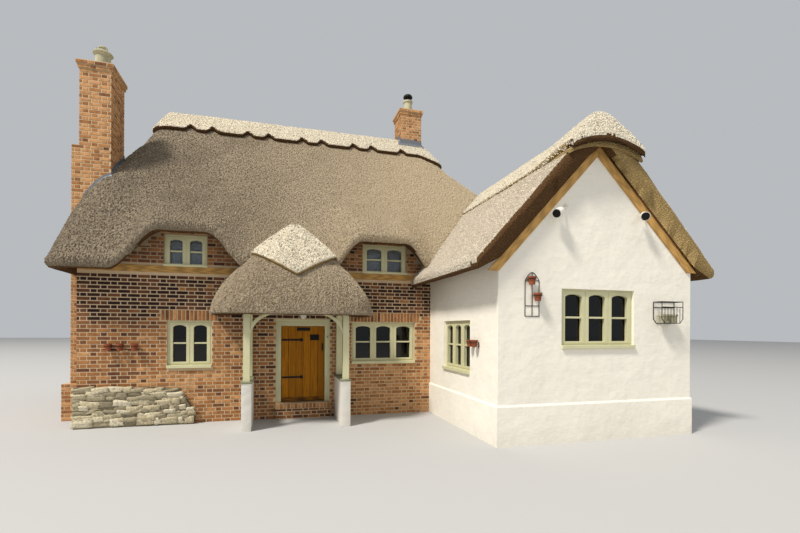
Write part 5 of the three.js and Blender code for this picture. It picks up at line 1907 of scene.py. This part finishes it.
def flashing(name, x0, x1, y0, y1, rise, skirt):
    """A lead collar round a stack where it leaves the straw, lying on the slope."""
    form = bmesh.new()
    corners = [(x0, y0), (x1, y0), (x1, y1), (x0, y1)]
    section = ((skirt, -0.03, True), (skirt, 0.014, True), (skirt / 3, 0.024, True), (0.014, 0.045, False),
               (0.014, rise, False), (0.004, rise, False), (0.004, -0.03, False))
    rings = []
    for (ax, ay), (bx, by) in zip(corners, corners[1:] + corners[:1]):
        for t in np.linspace(0, 1, 7)[:-1]:
            x, y = mix(ax, bx, t), mix(ay, by, t)
            sx = -1 if x <= x0 + 1e-6 else (1 if x >= x1 - 1e-6 else 0)
            sy = -1 if y <= y0 + 1e-6 else (1 if y >= y1 - 1e-6 else 0)
            foot = roof_height(x + sx * 0.03, y + sy * 0.03)
            ring = []
            for out, up, follows_slope in section:
                base = roof_height(x + sx * out, y + sy * out) if follows_slope else foot
                ring.append(form.verts.new((x + sx * out, y + sy * out, base + up)))
            rings.append(ring)
    join_rings(form, rings, True)
    shaped(name, form, "lead")


def pot_vent(low, high):
    """The stopper, the flange and the four horns of the left pot."""
    form = bmesh.new()
    x, y, _ = (low + high) / 2
    stopper = (0.075, 0.0), (0.075, 0.09), (0.09, 0.095), (0.09, 0.12), (0.05, 0.15), (0.001, 0.155)
    turned(form, (x, y, high.z), stopper)
    flange = (0.165, 0.0), (0.196, 0.01), (0.204, 0.024), (0.19, 0.042), (0.165, 0.048)
    turned(form, (x, y, high.z - 0.055), flange, 28)
    for n in range(4):
        foot = on_circle((x, y, high.z - 0.002), 0.145, math.pi * (0.25 + n / 2))
        turned(form, foot, ((0.018, 0.0), (0.013, 0.03), (0.02, 0.05), (0.001, 0.07)), 10)
    shaped("left_pot_vent", form, "clay")


def cowl_dome(low, high):
    """A dome on ten bars over a short collar."""
    form = bmesh.new()
    x, y, _ = (low + high) / 2
    turned(form, (x, y, low.z), ((0.078, 0.0), (0.078, 0.03), (0.07, 0.032), (0.001, 0.034)))
    dome = (0.001, 0.1), (0.13, 0.1), (0.145, 0.108), (0.145, 0.13), (0.12, 0.18), (0.07, 0.21)
    turned(form, (x, y, low.z), (*dome, (0.001, high.z - low.z)))
    for n in range(10):
        foot, head = (on_circle((x, y, low.z), 0.068, 2 * math.pi * n / 10, up) for up in (0.028, 0.104))
        rod(form, foot, head, 0.006, 6)
    shaped("cowl_dome", form, "iron", stands_for=("right_chimney_cowl",))


class COTTAGE_OT_chimney_tops(bpy.types.Operator):
    """Makes the pots, the cowl and the lead collars of the chimneys"""

    bl_idname, bl_label = "cottage.chimney_tops", "Chimney tops"

    def execute(self, context):
        for node in ("left_chimney_pot", "right_chimney_pot"):
            softened(node, node + "_turned", ("clay",), 0.008)
        pot_vent(*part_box("left_chimney_pot"))
        cowl_dome(*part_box("right_chimney_cowl"))
        flashing("left_fillet", -6.12, -5.5, -2.2, -1.33, 0.09, 0.035)
        flashing("right_collar", 1.68, 2.32, -0.3, 0.42, 0.16, 0.09)
        return {"FINISHED"}


# Fittings


def flower_pot(form, centre, radius, height):
    """An empty pot with a rolled rim."""
    outside = (0.001, 0.0), (0.68, 0.0), (0.86, 0.78), (1.0, 0.78), (1.0, 1.0)
    outline = *outside, (0.84, 1.0), (0.6, 0.12), (0.001, 0.12)
    turned(form, centre, [(r * radius if r > 0.01 else r, z * height) for r, z in outline], 18)


def hoop(middle, radius):
    """Points right round a level ring."""
    return [on_circle(middle, radius, turn) for turn in np.linspace(0, 2 * math.pi, 15)]


def pot_frame(iron, clay):
    """An arched iron frame on the left of the gable, with two pots."""
    y = WING_FACE_Y - 0.006
    x0, x1, z0, z1 = 2.172, 2.449, 2.24, 2.86
    top = [(mix(x0, x1, t), y, z1 + 0.14 * math.sin(math.pi * t)) for t in np.linspace(0, 1, 9)]
    middle = (x0 + x1) / 2
    bars(iron, 0.006, [(x0, y, z0), *top, (x1, y, z0), (x0, y, z0)], [(middle, y, z0), (middle, y, 3.0)],
         [(x0, y, 2.42), (x1, y, 2.42)], [(x0, y, z1), (x1, y, z1)])
    for x, z in ((2.255, 2.78), (2.37, 2.5)):
        bars(iron, 0.005, hoop((x, y - 0.085, z + 0.09), 0.078))
        flower_pot(clay, (x, y - 0.085, z), 0.074, 0.14)


def pot_basket(iron, cream):
    """An iron basket on the right of the gable, with two pots."""
    y, front = WING_FACE_Y - 0.006, WING_FACE_Y - 0.2
    x0, x1, z0, z1, rail = 4.911, 5.4, 2.14, 2.54, 2.44
    low, left, right = z0 + 0.08, x0 + 0.07, x1 - 0.07
    outline = (x0, z1), (x0, low), (left, z0), (right, z0), (x1, low), (x1, z1), (x0, z1)
    for depth in (y, front):
        bars(iron, 0.007, [(x, depth, z) for x, z in outline], [(x0, depth, rail), (x1, depth, rail)])
    for x in np.linspace(left, right, 6):
        bars(iron, 0.005, [(x, y, z0), (x, front, z0), (x, front, rail)])
    bars(iron, 0.007, [(x0, y, z1), (x0, front, z1)], [(x1, y, z1), (x1, front, z1)])
    for share in (0.28, 0.72):
        flower_pot(cream, (mix(x0, x1, share), (y + front) / 2, z0 + 0.006), 0.09, 0.16)


def wall_holders(iron, clay):
    """Pots in hoops, three beside the left window and two on the left wall of the wing."""
    y = FRONT_Y - 0.008
    bars(iron, 0.007, [(-5.34, y, 1.565), (-4.64, y, 1.565)])
    for x in (-5.22, -5.01, -4.75):
        bars(iron, 0.005, hoop((x, y - 0.09, 1.63), 0.076), [(x, y, 1.63), (x, y, 1.565)])
        flower_pot(clay, (x, y - 0.09, 1.54), 0.072, 0.14)
    x = WING_X0 - 0.008
    for along in (-5.62, -5.82):
        bars(iron, 0.005, hoop((x - 0.085, along, 1.77), 0.072), [(x, along, 1.77), (x, along, 1.66)])
        flower_pot(clay, (x - 0.085, along, 1.68), 0.068, 0.13)


def lamps(iron, pale):
    """Two spot lamps on arms under the gable, the bell push and the round porch lamp."""
    for lamp in (((2.987, -6.56, 4.2), (2.8, -6.68, 4.09), (2.65, -6.77, 4.0)),
                 ((4.66, -6.56, 4.2), (4.58, -6.67, 4.14), (4.5, -6.79, 4.08))):
        start, bend, end = map(Vector, lamp)
        rod(pale, start, start.lerp(bend, 0.12), 0.045, 16)
        rod(pale, start, bend, 0.014, 10)
        rod(pale, bend.lerp(end, 0.05), end, 0.062, 20, 0.082)
        rod(iron, end.lerp(bend, 0.04), end + (end - bend).normalized() * 0.006, 0.072, 20)
    for form, x, z, back, front, radius, sides, end_radius in (
        (iron, -0.803, 1.82, -3.0602, -3.075, 0.026, 16, 0.022),
        (pale, -0.803, 1.82, -3.0745, -3.082, 0.01, 12, 0.008),
        (pale, -1.37, 2.3, -3.1004, -3.13, 0.075, 20, 0.07),
        (pale, -1.37, 2.3, -3.1295, -3.165, 0.068, 20, 0.045),
    ):
        rod(form, (x, back, z), (x, front, z), radius, sides, end_radius)


class COTTAGE_OT_fittings(bpy.types.Operator):
    """Hangs the lamps, the bell push and the iron pot holders with their pots"""

    bl_idname, bl_label = "cottage.fittings", "Fittings on the walls"

    def execute(self, context):
        iron, pale, clay, cream = (bmesh.new() for _ in range(4))
        pot_frame(iron, clay)
        pot_basket(iron, cream)
        wall_holders(iron, clay)
        lamps(iron, pale)
        shaped("wall_irons", iron, "iron")
        shaped("wall_lamps", pale, "masonry")
        shaped("terracotta_pots", clay, "terracotta")
        shaped("cream_pots", cream, "clay")
        return {"FINISHED"}


# Stage


def soft_light(name, place, size, power, shade):
    lamp = bpy.data.lights.new(name, "AREA")
    lamp.shape, lamp.size, lamp.energy, lamp.color = "DISK", size, power, shade
    made = bpy.data.objects.new(name, lamp)
    made.location = place
    made.rotation_euler = (Vector((0, -1.0, 2.5)) - Vector(place)).to_track_quat("-Z", "Y").to_euler()
    bpy.context.scene.collection.objects.link(made)


class COTTAGE_OT_stage(bpy.types.Operator):
    """Sets the pale floor, the soft studio lights and the camera"""

    bl_idname, bl_label = "cottage.stage", "Stage"

    def execute(self, context):
        settings = look("stage")
        Finish("studio_floor").done(tuple(settings.floor), 0.9, specular=0.1)
        corners = [(-90, -90, 0), (90, -90, 0), (90, 90, 0), (-90, 90, 0)]
        mesh_object("studio_floor", corners, [(0, 1, 2, 3)], ("studio_floor",))
        world = bpy.data.worlds.new("studio")
        world.use_nodes = True
        sky = world.node_tree.nodes["Background"]
        sky.inputs[0].default_value = (0.92, 0.96, 1.0, 1)
        sky.inputs[1].default_value = settings.sky
        context.scene.world = world
        soft_light("key", (-47.0, -31.0, 72.0), 15.0, settings.key * 35000, (1.0, 0.955, 0.88))
        soft_light("fill", (12.0, -24.0, 12.0), 14.0, settings.key * 150, (0.93, 0.96, 1.0))
        lens = bpy.data.cameras.new("camera")
        lens.sensor_width, lens.lens, lens.shift_y = 36.0, settings.lens, 0.0786
        camera = bpy.data.objects.new("camera", lens)
        turns = (-0.272, "Z"), (math.pi / 2, "X"), (0.005, "Z")
        yaw, pitch, roll = (Matrix.Rotation(turn, 4, axis) for turn, axis in turns)
        camera.matrix_world = Matrix.Translation((-1.975, -13.406, 2.0)) @ yaw @ pitch @ roll
        context.scene.collection.objects.link(camera)
        context.scene.camera = camera
        context.scene.view_settings.view_transform = "Standard"
        return {"FINISHED"}


LOOKS = {"thatch": ThatchLook, "brick": BrickLook, "joinery": JoineryLook, "stage": StageLook}
PIECES = (
    COTTAGE_OT_stage, COTTAGE_OT_brickwork, COTTAGE_OT_main_thatch, COTTAGE_OT_wing_thatch,
    COTTAGE_OT_porch_thatch, COTTAGE_OT_ridge_caps, COTTAGE_OT_windows, COTTAGE_OT_front_door,
    COTTAGE_OT_timberwork, COTTAGE_OT_footing, COTTAGE_OT_wing_walls, COTTAGE_OT_chimney_tops,
    COTTAGE_OT_fittings,
)


class COTTAGE_PT_panel(bpy.types.Panel):
    """Lists the pieces of the cottage"""

    bl_label, bl_space_type, bl_region_type, bl_category = "Thatched cottage", "VIEW_3D", "UI", "Cottage"

    def draw(self, context):
        for piece in PIECES:
            self.layout.operator(piece.bl_idname)
        for name, group in LOOKS.items():
            box = self.layout.box()
            box.label(text=group.__doc__)
            for key in group.__annotations__:
                box.prop(look(name), key)


def register():
    for name, group in LOOKS.items():
        bpy.utils.register_class(group)
        setattr(bpy.types.Scene, "cottage_" + name, PointerProperty(type=group))
    for piece in (*PIECES, COTTAGE_PT_panel):
        bpy.utils.register_class(piece)


def unregister():
    for piece in (COTTAGE_PT_panel, *PIECES[::-1]):
        bpy.utils.unregister_class(piece)
    for name, group in LOOKS.items():
        delattr(bpy.types.Scene, "cottage_" + name)
        bpy.utils.unregister_class(group)


def main():
    register()
    make_materials()
    TREES.update(blocks=blocks_tree(), stubble=stubble_tree())
    for piece in PIECES:
        group, name = piece.bl_idname.split(".")
        getattr(getattr(bpy.ops, group), name)()
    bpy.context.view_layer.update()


if __name__ == "__main__":
    main()
